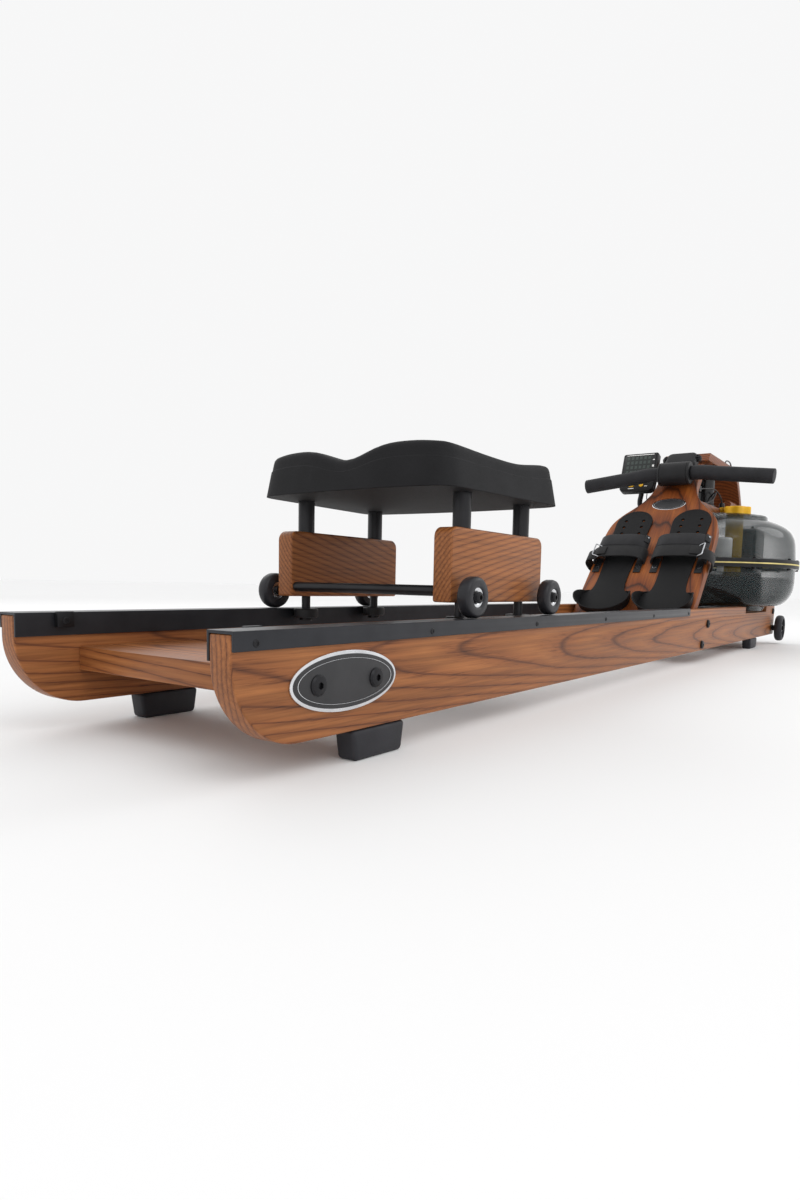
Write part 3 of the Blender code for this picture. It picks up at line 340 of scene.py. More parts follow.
def plate(name, outline, thickness, place, soft_edge=0.0, segments=2):
    """A flat outline filled and pulled to a thickness, its middle on the plane that place sets."""
    deselect()
    bpy.ops.mesh.primitive_circle_add(vertices=len(outline), radius=0.1, location=(0, 0, 0))
    piece = named(name)
    for corner, (x, y) in zip(piece.data.vertices, outline):
        corner.co = (x, y, -thickness / 2)
    bpy.ops.object.mode_set(mode="EDIT")
    bpy.ops.mesh.select_all(action="SELECT")
    bpy.ops.mesh.edge_face_add()
    bpy.ops.mesh.extrude_region_move(TRANSFORM_OT_translate={"value": (0, 0, thickness)})
    bpy.ops.mesh.select_all(action="SELECT")
    bpy.ops.mesh.remove_doubles(threshold=0.00001)
    bpy.ops.mesh.normals_make_consistent(inside=False)
    bpy.ops.object.mode_set(mode="OBJECT")
    if soft_edge:
        soften(piece, soft_edge, segments, 50)
    piece.matrix_world = place
    return settle(piece)


def upright(y):
    """The plane across the machine at y, for outlines given as length and height."""
    return Matrix.Translation((REAR_X, y, 0)) @ Matrix.Rotation(math.radians(90), 4, "X")


board_outline = (
    arc((TAIL_RADIUS, BOARD_BOTTOM_Z + TAIL_RADIUS), TAIL_RADIUS, 180, 270, 24)
    + arc((BOARD_LENGTH - NOSE_RADIUS, BOARD_BOTTOM_Z + NOSE_RADIUS), NOSE_RADIUS, 270, 360, 5)
    + arc((BOARD_LENGTH - NOSE_RADIUS, BOARD_TOP_Z - NOSE_RADIUS), NOSE_RADIUS, 0, 90, 5)
    + [(NOTCH_X[1], BOARD_TOP_Z), (NOTCH_X[1], NOTCH_FLOOR_Z), (NOTCH_X[0], NOTCH_FLOOR_Z), (NOTCH_X[0], BOARD_TOP_Z)]
    + [(0, BOARD_TOP_Z)]
)
board_thickness = BOARD_OUTER_Y - BOARD_INNER_Y
for board_name, side, heart_y, heart_z in (
    ("left_side_board", 1, 0.110, 0.070), ("right_side_board", -1, -0.112, 0.062)
):
    board = plate(
        board_name + "_piece", board_outline, board_thickness, upright(side * (BOARD_OUTER_Y + BOARD_INNER_Y) / 2),
        0.0016, 3
    )
    board_wood = wood(
        board_name + "_wood", (0.25, heart_y, heart_z), (0, math.radians(1.6), math.radians(side * 1.5))
    )
    dress(board, board_wood, "frame", "stained_wood", board_name)

# Rails: black anodised aluminium channels pressed over the tops of the boards and held by countersunk screws in their
# outer walls. Small stop blocks screwed to their inner walls keep the seat on.
RAIL_END_X = 1.159
RAIL_WALL = 0.0025
RAIL_TOP_Z = 0.1200
RAIL_GAP = 0.0003
RAIL_OUTER_DROP = 0.015
RAIL_INNER_DROP = 0.023
RAIL_SCREWS_X = (0.0206, 0.244, 0.471, 0.700, 0.927, 1.146)
RAIL_SCREW_Z = 0.1105


def coated_metal(name, colour, roughness, metallic, grain=(2.0, 260.0, 260.0), coat=0.0):
    """Anodised or painted metal with fine drawn streaks and faint handling marks."""
    made, add, into, place = new_material(name)
    streak_way = stretched(add, place, grain)
    streak = noise(add, streak_way, 1.0, 3.0)
    mark = noise(add, place, 35.0, 4.0)
    lighter = tuple(min(1.0, c * 1.35 + 0.004) for c in colour[:3]) + (1.0,)
    into("Base Color", shades(add, mark, [(0.3, colour), (0.8, lighter)]))
    low, high = roughness - 0.07, roughness + 0.08
    into("Roughness", greys(add, streak, (0.25, low), (0.75, high)))
    into("Metallic", metallic)
    into("Coat Weight", coat)
    into("Coat Roughness", 0.2)
    into("Normal", add("ShaderNodeBump", Strength=0.12, Distance=0.0002, Height=streak).outputs["Normal"])
    return made


def lathe(name, profile, place, steps=48, ring=False):
    """A profile of radius and height spun once round the local Z axis. A ring's profile closes on itself."""
    deselect()
    bpy.ops.mesh.primitive_circle_add(vertices=len(profile), radius=0.1, location=(0, 0, 0))
    piece = named(name)
    for corner, (radius, height) in zip(piece.data.vertices, profile):
        corner.co = (radius, 0, height)
    bpy.ops.object.mode_set(mode="EDIT")
    if not ring:
        shape = bmesh.from_edit_mesh(piece.data)
        ends = {0, len(profile) - 1}
        closing = [edge for edge in shape.edges if {corner.index for corner in edge.verts} == ends]
        bmesh.ops.delete(shape, geom=closing, context="EDGES")
        bmesh.update_edit_mesh(piece.data)
    bpy.ops.mesh.select_all(action="SELECT")
    bpy.ops.mesh.spin(steps=steps, angle=2 * math.pi, center=(0, 0, 0), axis=(0, 0, 1))
    bpy.ops.mesh.select_all(action="SELECT")
    bpy.ops.mesh.remove_doubles(threshold=0.00002)
    bpy.ops.mesh.dissolve_degenerate(threshold=0.00001)
    bpy.ops.mesh.select_all(action="SELECT")
    bpy.ops.mesh.normals_make_consistent(inside=False)
    bpy.ops.object.mode_set(mode="OBJECT")
    piece.matrix_world = place
    return settle(piece)


def along(point, direction):
    """A frame at a point, its Z axis along a direction."""
    return Matrix.Translation(point) @ Vector(direction).to_track_quat("Z", "Y").to_matrix().to_4x4()


def socket_bolt(name, point, direction, radius, height, socket, dome=0.0):
    """A bolt head with a broken edge and a hexagon socket, standing on a surface."""
    edge = 0.18 * radius
    profile = [
        (0, height + dome), (0.5 * radius, height + 0.8 * dome), (radius - edge, height), (radius, height - edge),
        (radius, 0), (0, 0)
    ]
    bolt = lathe(name, profile, along(point, direction), 32)
    deselect()
    bpy.ops.mesh.primitive_cylinder_add(vertices=6, radius=socket, depth=1.2 * height, location=(0, 0, 0))
    hexagon = named(name + "_socket")
    hexagon.matrix_world = along(Vector(point) + Vector(direction).normalized() * (height + dome), direction)
    apply_modifier(bolt, "BOOLEAN", operation="DIFFERENCE", object=hexagon, solver="EXACT")
    bpy.data.objects.remove(hexagon, do_unlink=True)
    return bolt


rail_black = coated_metal("anodised_black", (0.020, 0.021, 0.025, 1), 0.36, 0.55)
bolt_black = coated_metal("bolt_black", (0.012, 0.012, 0.014, 1), 0.42, 0.6, (60.0, 60.0, 60.0))
for rail_name, side in (("left_rail", 1), ("right_rail", -1)):
    outer, inner = BOARD_OUTER_Y + RAIL_GAP, BOARD_INNER_Y - RAIL_GAP
    under = RAIL_TOP_Z - RAIL_WALL
    section = [
        (outer, under), (outer, RAIL_TOP_Z - RAIL_OUTER_DROP), (outer + RAIL_WALL, RAIL_TOP_Z - RAIL_OUTER_DROP),
        (outer + RAIL_WALL, RAIL_TOP_Z), (inner - RAIL_WALL, RAIL_TOP_Z),
        (inner - RAIL_WALL, RAIL_TOP_Z - RAIL_INNER_DROP), (inner, RAIL_TOP_Z - RAIL_INNER_DROP), (inner, under),
    ]
    lengthwise = Matrix(((0, 0, 1), (1, 0, 0), (0, 1, 0))).to_4x4()
    place = Matrix.Translation((REAR_X + RAIL_END_X / 2, 0, 0)) @ lengthwise
    rail = plate(rail_name + "_channel", [(side * y, z) for y, z in section], RAIL_END_X, place, 0.0005)
    dress(rail, rail_black, "frame", "black_rail", rail_name, smooth=20)
    screws = [
        socket_bolt(
            f"{rail_name}_screw_{x}", (REAR_X + x, side * (outer + RAIL_WALL), RAIL_SCREW_Z), (0, side, 0), 0.0031,
            0.0007, 0.0017
        )
        for x in RAIL_SCREWS_X
    ]
    dress(named_as(join(*screws), rail_name + "_screws"), bolt_black, "frame", "black_steel")
    stop_outline = [(0.037, 0.1055), (0.054, 0.1055), (0.054, 0.1208), (0.037, 0.1208)]
    stop = plate(rail_name + "_stop", stop_outline, 0.006, upright(side * (inner - RAIL_WALL - 0.0032)), 0.001)
    dress(stop, bolt_black, "frame", "black_steel")
    stop_screw_place = (REAR_X + 0.0455, side * (inner - RAIL_WALL - 0.0062), 0.112)
    stop_screw = socket_bolt(rail_name + "_stop_screw", stop_screw_place, (0, -side, 0), 0.0034, 0.0012, 0.0018)
    dress(stop_screw, bolt_black, "frame", "black_steel")


# Crossboards: three ash boards between the side boards, one at the rear, one slanted behind the foot of the footplate
# and one under the tank. Long bolts with black heads run right through the first two.
REAR_BOARD_X = (0.0626, 0.196)
REAR_BOARD_Z = (0.061, 0.085)
REAR_BOLTS_X = (0.0859, 0.1588)
REAR_BOLT_Z = 0.073
TANK_BOARD_X = (1.680, 2.050)
TANK_BOARD_Z = (0.0797, 0.1037)
FOOT_LEAN = math.radians(46.7)
FOOT_S = Vector((math.cos(FOOT_LEAN), 0, math.sin(FOOT_LEAN)))
FOOT_N = Vector((-math.sin(FOOT_LEAN), 0, math.cos(FOOT_LEAN)))
FOOT_ORIGIN = Vector((REAR_X + 1.2936, 0, 0.1204))
BATTEN_S = -0.0456
BATTEN_N = -0.0355
BATTEN_BOLT_STEP = 0.030


def on_slope(y, s, n):
    """A point given across, up the footplate's slope and out from its face."""
    return FOOT_ORIGIN + FOOT_S * s + FOOT_N * n + Vector((0, y, 0))


def slope_plane(n, s=0.0, y=0.0):
    """The footplate's own frame raised by n: local x across, local y up the slope, local z into the wood."""
    turn = Matrix((Vector((0, 1, 0)), FOOT_S, -FOOT_N)).transposed().to_4x4()
    return Matrix.Translation(on_slope(y, s, n)) @ turn


def rectangle(x0, y0, x1, y1):
    return [(x0, y0), (x1, y0), (x1, y1), (x0, y1)]


cross_width = 2 * (BOARD_INNER_Y - RAIL_GAP)
ACROSS = (0, 0, math.radians(90))
rear_board = plate(
    "rear_crossboard_piece", rectangle(REAR_BOARD_X[0], REAR_BOARD_Z[0], REAR_BOARD_X[1], REAR_BOARD_Z[1]),
    cross_width, upright(0), 0.0012
)
rear_wood = wood("rear_crossboard_wood", (0.02, 0.94, 0.035), (0, math.radians(1.0), math.radians(3)), ACROSS)
dress(rear_board, rear_wood, "frame", "stained_wood", "rear_crossboard")
tank_board = plate(
    "tank_board_piece", rectangle(TANK_BOARD_X[0], TANK_BOARD_Z[0], TANK_BOARD_X[1], TANK_BOARD_Z[1]), cross_width,
    upright(0), 0.0012
)
dress(tank_board, rear_wood, "frame", "stained_wood", "tank_base_board")
batten_outline = rectangle(-cross_width / 2, -0.036, cross_width / 2, 0.036)
batten = plate("footplate_batten_piece", batten_outline, 0.022, slope_plane(BATTEN_N, BATTEN_S), 0.0012)
dress(batten, rear_wood, "frame", "stained_wood", "footplate_batten")

bolt_places = [
    ("rear_tie_bolt_1", REAR_X + REAR_BOLTS_X[0], REAR_BOLT_Z),
    ("rear_tie_bolt_2", REAR_X + REAR_BOLTS_X[1], REAR_BOLT_Z)
]
for number, step in ((1, -BATTEN_BOLT_STEP), (2, BATTEN_BOLT_STEP)):
    place = on_slope(0, BATTEN_S + step, BATTEN_N)
    bolt_places.append((f"batten_tie_bolt_{number}", place.x, place.z))
for bolt_name, x, z in bolt_places:
    reach = BOARD_OUTER_Y + RAIL_GAP
    heads = [
        socket_bolt(f"{bolt_name}_head_{side}", (x, side * reach, z), (0, side, 0), 0.0088, 0.0042, 0.0032, 0.0006)
        for side in (-1, 1)
    ]
    shank = lathe(
        bolt_name + "_shank", [(0, reach), (0.004, reach), (0.004, -reach), (0, -reach)], along((x, 0, z), (0, 1, 0)),
        16
    )
    dress(named_as(join(shank, *heads), bolt_name + "_piece"), bolt_black, "frame", "black_steel", bolt_name)
for side in (-1, 1):
    nose_bolt = socket_bolt(
        f"nose_bolt_{side + 2}", (REAR_X + 2.0897, side * BOARD_OUTER_Y, 0.1000), (0, side, 0), 0.0088, 0.0042,
        0.0032, 0.0006
    )
    dress(nose_bolt, bolt_black, "frame", "black_steel")


# Side badge: an oval of dark enamelled aluminium with a polished rim, pinned to the right board under the rear bolts.
# It carries no words here, only a thin polished line.
BADGE_X, BADGE_Z = 0.1215, 0.0737
BADGE_HALF = (0.0665, 0.0258)
RIM_WIDTH = 0.0030
polished = coated_metal("polished_rim", (0.62, 0.63, 0.65, 1), 0.24, 1.0, (40.0, 40.0, 300.0))
enamel = coated_metal("badge_enamel", (0.016, 0.016, 0.018, 1), 0.48, 0.0, (30.0, 30.0, 30.0))


def oval(half_x, half_y, steps=72):
    return [
        (half_x * math.cos(2 * math.pi * k / steps), half_y * math.sin(2 * math.pi * k / steps))
        for k in range(steps)
    ]


def oval_badge(name, half, rim, place):
    """A polished oval, a dark face inside its rim and a thin bright line inside that. Local z points out."""
    back = plate(name + "_rim", oval(*half), 0.0016, place @ Matrix.Translation((0, 0, 0.0008)), 0.0006)
    dress(back, polished, "frame", "pale_plastic")
    face = plate(
        name + "_face", oval(half[0] - rim, half[1] - rim), 0.0010, place @ Matrix.Translation((0, 0, 0.0015)), 0.0002
    )
    dress(face, enamel, "frame", "black_plastic")
    line_half = (half[0] - 2.6 * rim, half[1] - 2.2 * rim)
    profile = [
        (line_half[0], 0.0001), (line_half[0], -0.0002), (line_half[0] - rim / 5, -0.0002),
        (line_half[0] - rim / 5, 0.0001)
    ]
    thin = lathe(name + "_line", profile, Matrix.Diagonal((1, line_half[1] / line_half[0], 1, 1)), 96, True)
    thin.matrix_world = place @ Matrix.Translation((0, 0, 0.0021))
    dress(thin, polished, "frame", "pale_plastic")


outward = Matrix(((1, 0, 0), (0, 0, -1), (0, 1, 0))).to_4x4()
oval_badge(
    "side_badge", BADGE_HALF, RIM_WIDTH, Matrix.Translation((REAR_X + BADGE_X, -BOARD_OUTER_Y, BADGE_Z)) @ outward
)


# Feet: four moulded rubber blocks with rounded corners, a little narrower at the floor. Each is as wide as its
# board is thick and is screwed up into the underside of the board.
def rubber(name, colour=(0.010, 0.010, 0.011, 1), roughness=0.55, speckle=900.0, depth=0.35):
    """Moulded rubber or foam skin with a fine matt texture and slightly worn high spots."""
    made, add, into, place = new_material(name)
    skin = noise(add, place, speckle, 3.0, 0.6)
    cloud = noise(add, place, 28.0, 3.0)
    lighter = tuple(c * 1.5 + 0.002 for c in colour[:3]) + (1.0,)
    into("Base Color", shades(add, cloud, [(0.3, colour), (0.75, lighter)]))
    low, high = roughness - 0.06, roughness + 0.1
    into("Roughness", greys(add, skin, (0.3, low), (0.7, high)))
    into("Specular IOR Level", 0.28)
    into("Normal", add("ShaderNodeBump", Strength=depth, Distance=0.0003, Height=skin).outputs["Normal"])
    return made


foot_rubber = rubber("foot_rubber", (0.020, 0.020, 0.024, 1), 0.5)
for end, (start, stop_x) in (("rear", (0.132, 0.207)), ("front", (1.789, 1.876))):
    for side_name, side in (("left", 1), ("right", -1)):
        middle_x, half = REAR_X + (start + stop_x) / 2, (stop_x - start) / 2
        height = BOARD_BOTTOM_Z - RAIL_GAP
        deselect()
        bpy.ops.mesh.primitive_cube_add(
            size=1, location=(middle_x, side * (BOARD_OUTER_Y + BOARD_INNER_Y) / 2, height / 2)
        )
        foot = named(f"{end}_{side_name}_foot_block")
        foot.scale = (2 * half, board_thickness - 0.001, height)
        settle(foot)
        for corner in foot.data.vertices:
            if corner.co.z < height / 2:
                corner.co.x = middle_x + (corner.co.x - middle_x) * 0.88
        soften(foot, 0.0042, 4, 50)
        dress(foot, foot_rubber, "frame", "black_rubber", f"{end}_{side_name}_foot", smooth=60)


# Transport wheels: moulded black wheels with rubber tyres, outside the noses of the boards. Each turns on a bolt,
# with a spacer tube between the wheel and the board.
TRANSPORT_X, TRANSPORT_Z = 2.095, 0.0485
for side_name, side in (("left", 1), ("right", -1)):
    facing = along((REAR_X + TRANSPORT_X, side * 0.187, TRANSPORT_Z), (0, side, 0))
    tyre_profile = [
        (0.0385, 0.0045), (0.0390, 0.0), (0.0385, -0.0045), (0.0365, -0.0085), (0.0330, -0.0105), (0.0290, -0.0105),
        (0.0285, -0.0070), (0.0285, 0.0070), (0.0290, 0.0105), (0.0330, 0.0105), (0.0365, 0.0085),
    ]
    tyre = lathe(f"{side_name}_transport_tyre", tyre_profile, facing, 64, True)
    dress(tyre, foot_rubber, f"{side_name}_transport", "wheel_tyre", f"{side_name}_transport_wheel")
    hub_profile = [
        (0, 0.0075), (0.0105, 0.0075), (0.0120, 0.0060), (0.0135, 0.0030), (0.0240, 0.0030), (0.0260, 0.0065),
        (0.0286, 0.0065), (0.0286, -0.0065), (0.0260, -0.0065), (0.0240, -0.0030), (0.0130, -0.0030),
        (0.0120, -0.0100), (0, -0.0100),
    ]
    hub = lathe(f"{side_name}_transport_hub", hub_profile, facing, 64)
    dress(hub, bolt_black, f"{side_name}_transport", "wheel_tyre")
    axle_place = (REAR_X + TRANSPORT_X, side * (0.187 + 0.0078), TRANSPORT_Z)
    axle = socket_bolt(f"{side_name}_transport_bolt", axle_place, (0, side, 0), 0.0072, 0.0055, 0.0028, 0.0008)
    dress(axle, bolt_black, f"{side_name}_transport", "black_steel")
    spacer_profile = [(0.0085, 0.1760), (0.0085, 0.1654), (0.004, 0.1654), (0.004, 0.1760)]
    spacer = lathe(
        f"{side_name}_transport_spacer", spacer_profile, along((REAR_X + TRANSPORT_X, 0, TRANSPORT_Z), (0, side, 0)),
        24, True
    )
    dress(spacer, bolt_black, "frame", "black_steel")


# Seat carriage: two ash blocks with rounded top corners, four black steel posts that pass down through them, and two
# steel rods across. The lower ends of the posts carry rollers that run against the rails' inner walls.
BLOCK_X, BLOCK_Z, BLOCK_Y = (0.3255, 0.5445), (0.1365, 0.2200), (0.1095, 0.1345)
BLOCK_CORNER = 0.012
POST_X, POST_Y, POST_RADIUS = (0.364, 0.506), 0.1216, 0.0106
SEAT_BOTTOM_Z = 0.2603
ROLLER_Z = 0.1140
ROD_X, ROD_Z = (0.334, 0.524), 0.1490
block_outline = (
    arc((BLOCK_X[1] - BLOCK_CORNER, BLOCK_Z[1] - BLOCK_CORNER), BLOCK_CORNER, 0, 90, 8)
    + arc((BLOCK_X[0] + BLOCK_CORNER, BLOCK_Z[1] - BLOCK_CORNER), BLOCK_CORNER, 90, 180, 8)
    + [(BLOCK_X[0], BLOCK_Z[0]), (BLOCK_X[1], BLOCK_Z[0])]
)
post_black = coated_metal("post_black", (0.014, 0.014, 0.016, 1), 0.3, 0.5, (200.0, 200.0, 3.0))
rod_black = coated_metal("rod_black", (0.014, 0.014, 0.016, 1), 0.34, 0.5, (200.0, 3.0, 200.0))
roller_rubber = rubber("roller_rubber", (0.010, 0.010, 0.011, 1), 0.45)
for side_name, side in (("left", 1), ("right", -1)):
    block = plate(
        f"{side_name}_block_piece", block_outline, BLOCK_Y[1] - BLOCK_Y[0],
        upright(side * (BLOCK_Y[0] + BLOCK_Y[1]) / 2), 0.0028, 4
    )
    heart = (0.3, -0.155 if side < 0 else 0.075, 0.20 if side < 0 else 0.17)
    block_wood = wood(
        f"{side_name}_block_wood", heart, (math.radians(-2), math.radians(6.5 * side), math.radians(5)), ring=0.0046
    )
    dress(block, block_wood, "carriage", "stained_wood", f"{side_name}_seat_block")
    for end, post_x in (("rear", POST_X[0]), ("front", POST_X[1])):
        corner_name = f"{end}_{side_name}"
        top, low = SEAT_BOTTOM_Z - 0.0003, ROLLER_Z - 0.010
        profile = [
            (0, top), (POST_RADIUS, top), (POST_RADIUS, 0.1385), (0.0095, 0.1375), (0.0057, 0.1375),
            (0.0057, ROLLER_Z - 0.0065), (0.0085, ROLLER_Z - 0.0065), (0.0085, low + 0.0008), (0.0078, low), (0, low),
        ]
        post = lathe(
            f"{corner_name}_post_piece", profile, Matrix.Translation((REAR_X + post_x, side * POST_Y, 0)), 40
        )
        dress(post, post_black, "carriage", "black_steel", f"{corner_name}_post")
        half = 0.0060
        profile = [
            (0.0161, half - 0.0012), (0.0162, 0), (0.0161, -half + 0.0012), (0.0148, -half), (0.0085, -half),
            (0.0060, -half + 0.0005), (0.0060, half - 0.0005), (0.0085, half), (0.0148, half),
        ]
        roller = lathe(
            f"{corner_name}_roller_piece", profile, Matrix.Translation((REAR_X + post_x, side * POST_Y, ROLLER_Z)),
            48, True
        )
        dress(roller, roller_rubber, f"{corner_name}_roller", "black_rubber", f"{corner_name}_guide_roller")
for end, x in (("rear", ROD_X[0]), ("front", ROD_X[1])):
    profile = [(0, 0.1305), (0.0052, 0.1305), (0.006, 0.1297), (0.006, -0.1297), (0.0052, -0.1305), (0, -0.1305)]
    cross_rod = lathe(f"{end}_cross_rod_piece", profile, along((REAR_X + x, 0, ROD_Z), (0, 1, 0)), 32)
    dress(cross_rod, rod_black, "carriage", "black_steel", f"{end}_cross_rod")


# Seat wheels: black polyurethane tyres moulded round a ball bearing, which shows as a bright ring about a black bolt.
WHEEL_X, WHEEL_Y, WHEEL_RADIUS = (0.339, 0.529), 0.1548, 0.0228
wheel_rubber = rubber("wheel_polyurethane", (0.018, 0.018, 0.021, 1), 0.36, 500.0, 0.12)
for end, wheel_x in (("rear", WHEEL_X[0]), ("front", WHEEL_X[1])):
    for side_name, side in (("left", 1), ("right", -1)):
        wheel_name, body = f"{end}_{side_name}_wheel", f"{end}_{side_name}_seat_wheel"
        middle = (REAR_X + wheel_x, side * WHEEL_Y, RAIL_TOP_Z + RAIL_GAP + WHEEL_RADIUS)
        facing = along(middle, (0, side, 0))
        half = 0.0082
        profile = [
            (WHEEL_RADIUS, half - 0.0045), (WHEEL_RADIUS, -half + 0.0045), (WHEEL_RADIUS - 0.0012, -half + 0.0014),
            (WHEEL_RADIUS - 0.0036, -half), (0.0112, -half), (0.0112, -half + 0.002), (0.0108, half - 0.0016),
            (0.0118, half - 0.0004), (0.0135, half), (WHEEL_RADIUS - 0.0036, half),
            (WHEEL_RADIUS - 0.0012, half - 0.0014),
        ]
        tyre = lathe(wheel_name + "_tyre", profile, facing, 64, True)
        dress(tyre, wheel_rubber, body, "wheel_tyre", wheel_name, smooth=45)
        ring_profile = [
            (0.0107, half - 0.0018), (0.0107, -half + 0.001), (0.0066, -half + 0.001), (0.0066, half - 0.0030),
            (0.0080, half - 0.0022)
        ]
        bearing = lathe(wheel_name + "_bearing", ring_profile, facing, 48, True)
        dress(bearing, polished, body, "pale_plastic")
        head = socket_bolt(
            wheel_name + "_bolt", Vector(middle) + Vector((0, side * (half - 0.0042), 0)), (0, side, 0), 0.0064,
            0.0062, 0.0030, 0.0006
        )
        shank_profile = [(0, 0.0042), (0.0064, 0.0042), (0.0064, -0.0112), (0, -0.0112)]
        shank = lathe(wheel_name + "_shank", shank_profile, facing, 24)
        dress(named_as(join(head, shank), wheel_name + "_axle"), bolt_black, body, "black_steel")


# Seat: one block of moulded foam with a tough skin, two bumps along its rear edge with a dip for the tailbone between,
# and a raised front edge. A fine step runs round its sides where the halves of its mould met.
SEAT_X = (0.292, 0.553)
SEAT_HALF_WIDTHS = (0.143, 0.162)
SEAT_END_CURVE = 0.09
SEAT_ROUND = 0.008
CORNER_START = 0.84
SIDE_LEAN, MOULD_STEP = 0.045, 0.005
SEAT_REAR_LINE = (
    (0, 0.2950), (0.012, 0.2963), (0.024, 0.3005), (0.040, 0.3070), (0.055, 0.3108), (0.070, 0.3123), (0.105, 0.3120),
    (0.125, 0.3100), (0.165, 0.3070),
)
SEAT_MIDDLE_LINE = ((0, 0.2985), (0.05, 0.3000), (0.10, 0.3025), (0.17, 0.3045))
SEAT_LEVELS = (
    0, 0.02, 0.06, 0.13, 0.22, 0.31, 0.40, 0.49, 0.57, 0.64, 0.70, 0.745, 0.765, 0.775, 0.785, 0.80, 0.84, 0.88, 0.92,
    0.96, 1
)


def read_line(line, at):
    """A height read from a line of (place, height) points."""
    for (x0, z0), (x1, z1) in zip(line, line[1:]):
        if at <= x1:
            return z0 + (z1 - z0) * (at - x0) / (x1 - x0)
    return line[-1][1]


def smooth_step(low, high, value):
    t = min(max((value - low) / (high - low), 0), 1)
    return t * t * (3 - 2 * t)


def seat_top(forward, y):
    rear = math.exp(-((forward / 0.36) ** 2))
    height = rear * read_line(SEAT_REAR_LINE, abs(y)) + (1 - rear) * read_line(SEAT_MIDDLE_LINE, abs(y))
    return height + 0.0075 * smooth_step(0.60, 0.95, forward) * (0.4 + 0.6 * smooth_step(0.04, 0.12, abs(y)))


deselect()
bpy.ops.mesh.primitive_cube_add(size=2, location=(0, 0, 0))
seat = named("seat_cushion")
bpy.ops.object.mode_set(mode="EDIT")
bpy.ops.mesh.select_all(action="SELECT")
bpy.ops.mesh.subdivide(number_cuts=19)
bpy.ops.object.mode_set(mode="OBJECT")
for corner in seat.data.vertices:
    u, v = (math.sin(math.pi / 2 * c) for c in corner.co[:2])
    level = SEAT_LEVELS[round((corner.co.z + 1) * 10)]
    reach = max(abs(u), abs(v))
    if abs(u) > CORNER_START and abs(v) > CORNER_START:
        du, dv = abs(u) - CORNER_START, abs(v) - CORNER_START
        pull = max(du, dv) / max(math.hypot(du, dv), 1e-6)
        u, v = math.copysign(CORNER_START + du * pull, u), math.copysign(CORNER_START + dv * pull, v)
    forward = (u + 1) / 2
    half_width = SEAT_HALF_WIDTHS[0] + (SEAT_HALF_WIDTHS[1] - SEAT_HALF_WIDTHS[0]) * forward
    half_length = (SEAT_X[1] - SEAT_X[0]) / 2 * (1 - SEAT_END_CURVE * v * v)
    top = seat_top(forward, half_width * v)
    inside = (1 - reach) * half_width
    fall = SEAT_ROUND - math.sqrt(max(SEAT_ROUND**2 - max(SEAT_ROUND - inside, 0) ** 2, 0))
    side_top = top - SEAT_ROUND
    slope = 1 - SIDE_LEAN * level - (MOULD_STEP if level > 0.77 else 0)
    if reach > 0.9999 and level < 1:
        z = SEAT_BOTTOM_Z + (side_top - SEAT_BOTTOM_Z) * level
    elif corner.co.z > 0.999:
        z = top - fall
    else:
        z, slope = SEAT_BOTTOM_Z, 1
    x = REAR_X + (SEAT_X[0] + SEAT_X[1]) / 2 + half_length * u * slope
    corner.co = (x, half_width * v * slope, z)
apply_modifier(seat, "SUBSURF", levels=1, render_levels=1)
seat_foam = rubber("seat_foam", (0.004, 0.004, 0.0050, 1), 0.68, 1100.0, 0.55)
dress(seat, seat_foam, "carriage", "seat_foam", "seat", smooth=60)


# Footplate: a leaning ash board, wide under the feet and narrowing to a neck. The belt runs through a slot near its
# top, and an oval badge is let into a pocket in its face.
PLATE_THICKNESS = 0.024
PLATE_SIDE = (
    (0.139, -0.085), (0.139, 0.200), (0.1375, 0.240), (0.130, 0.280), (0.112, 0.311), (0.092, 0.334), (0.074, 0.357),
    (0.062, 0.381), (0.055, 0.405), (0.052, 0.435), (0.052, 0.503)
)
HANDLE_HEIGHT = 0.4536
SLOT_SIZE = (0.170, 0.014, 0.032)


def smooth_line(points, steps=5):
    """Points on a smooth curve through the given ones."""
    held = [Vector(p) for p in points]
    held = [2 * held[0] - held[1]] + held + [2 * held[-1] - held[-2]]
    found = []
    for a, b, c, d in zip(held, held[1:], held[2:], held[3:]):
        for step in range(steps):
            t = step / steps
            square, cube = 2 * a - 5 * b + 4 * c - d, 3 * b - a - 3 * c + d
            found.append(0.5 * (2 * b + (c - a) * t + square * t**2 + cube * t**3))
    return [tuple(p) for p in found + [held[-2]]]


def beside(line, distance):
    """The same line set off to its right, point by point."""
    found = []
    for index, (x, y) in enumerate(line):
        heading = Vector(line[min(index + 1, len(line) - 1)]) - Vector(line[max(index - 1, 0)])
        heading.normalize()
        found.append((x + heading.y * distance, y - heading.x * distance))
    return found


def cut(piece, cutter):
    """The cutter's shape taken out of the piece."""
    apply_modifier(piece, "BOOLEAN", operation="DIFFERENCE", object=cutter, solver="EXACT")
    bpy.data.objects.remove(cutter, do_unlink=True)


def round_cutter(radius, depth, vertices, place):
    deselect()
    bpy.ops.mesh.primitive_cylinder_add(vertices=vertices, radius=radius, depth=depth, location=(0, 0, 0))
    punch = named("round_cutter")
    punch.matrix_world = place
    return settle(punch)


def belt_slot(name):
    """A block that cuts the belt's slot, reaching out on both sides of the footplate."""
    deselect()
    bpy.ops.mesh.primitive_cube_add(size=1, location=(REAR_X + 1.645, 0, HANDLE_HEIGHT))
    block = named(name)
    block.scale = SLOT_SIZE
    return settle(block)


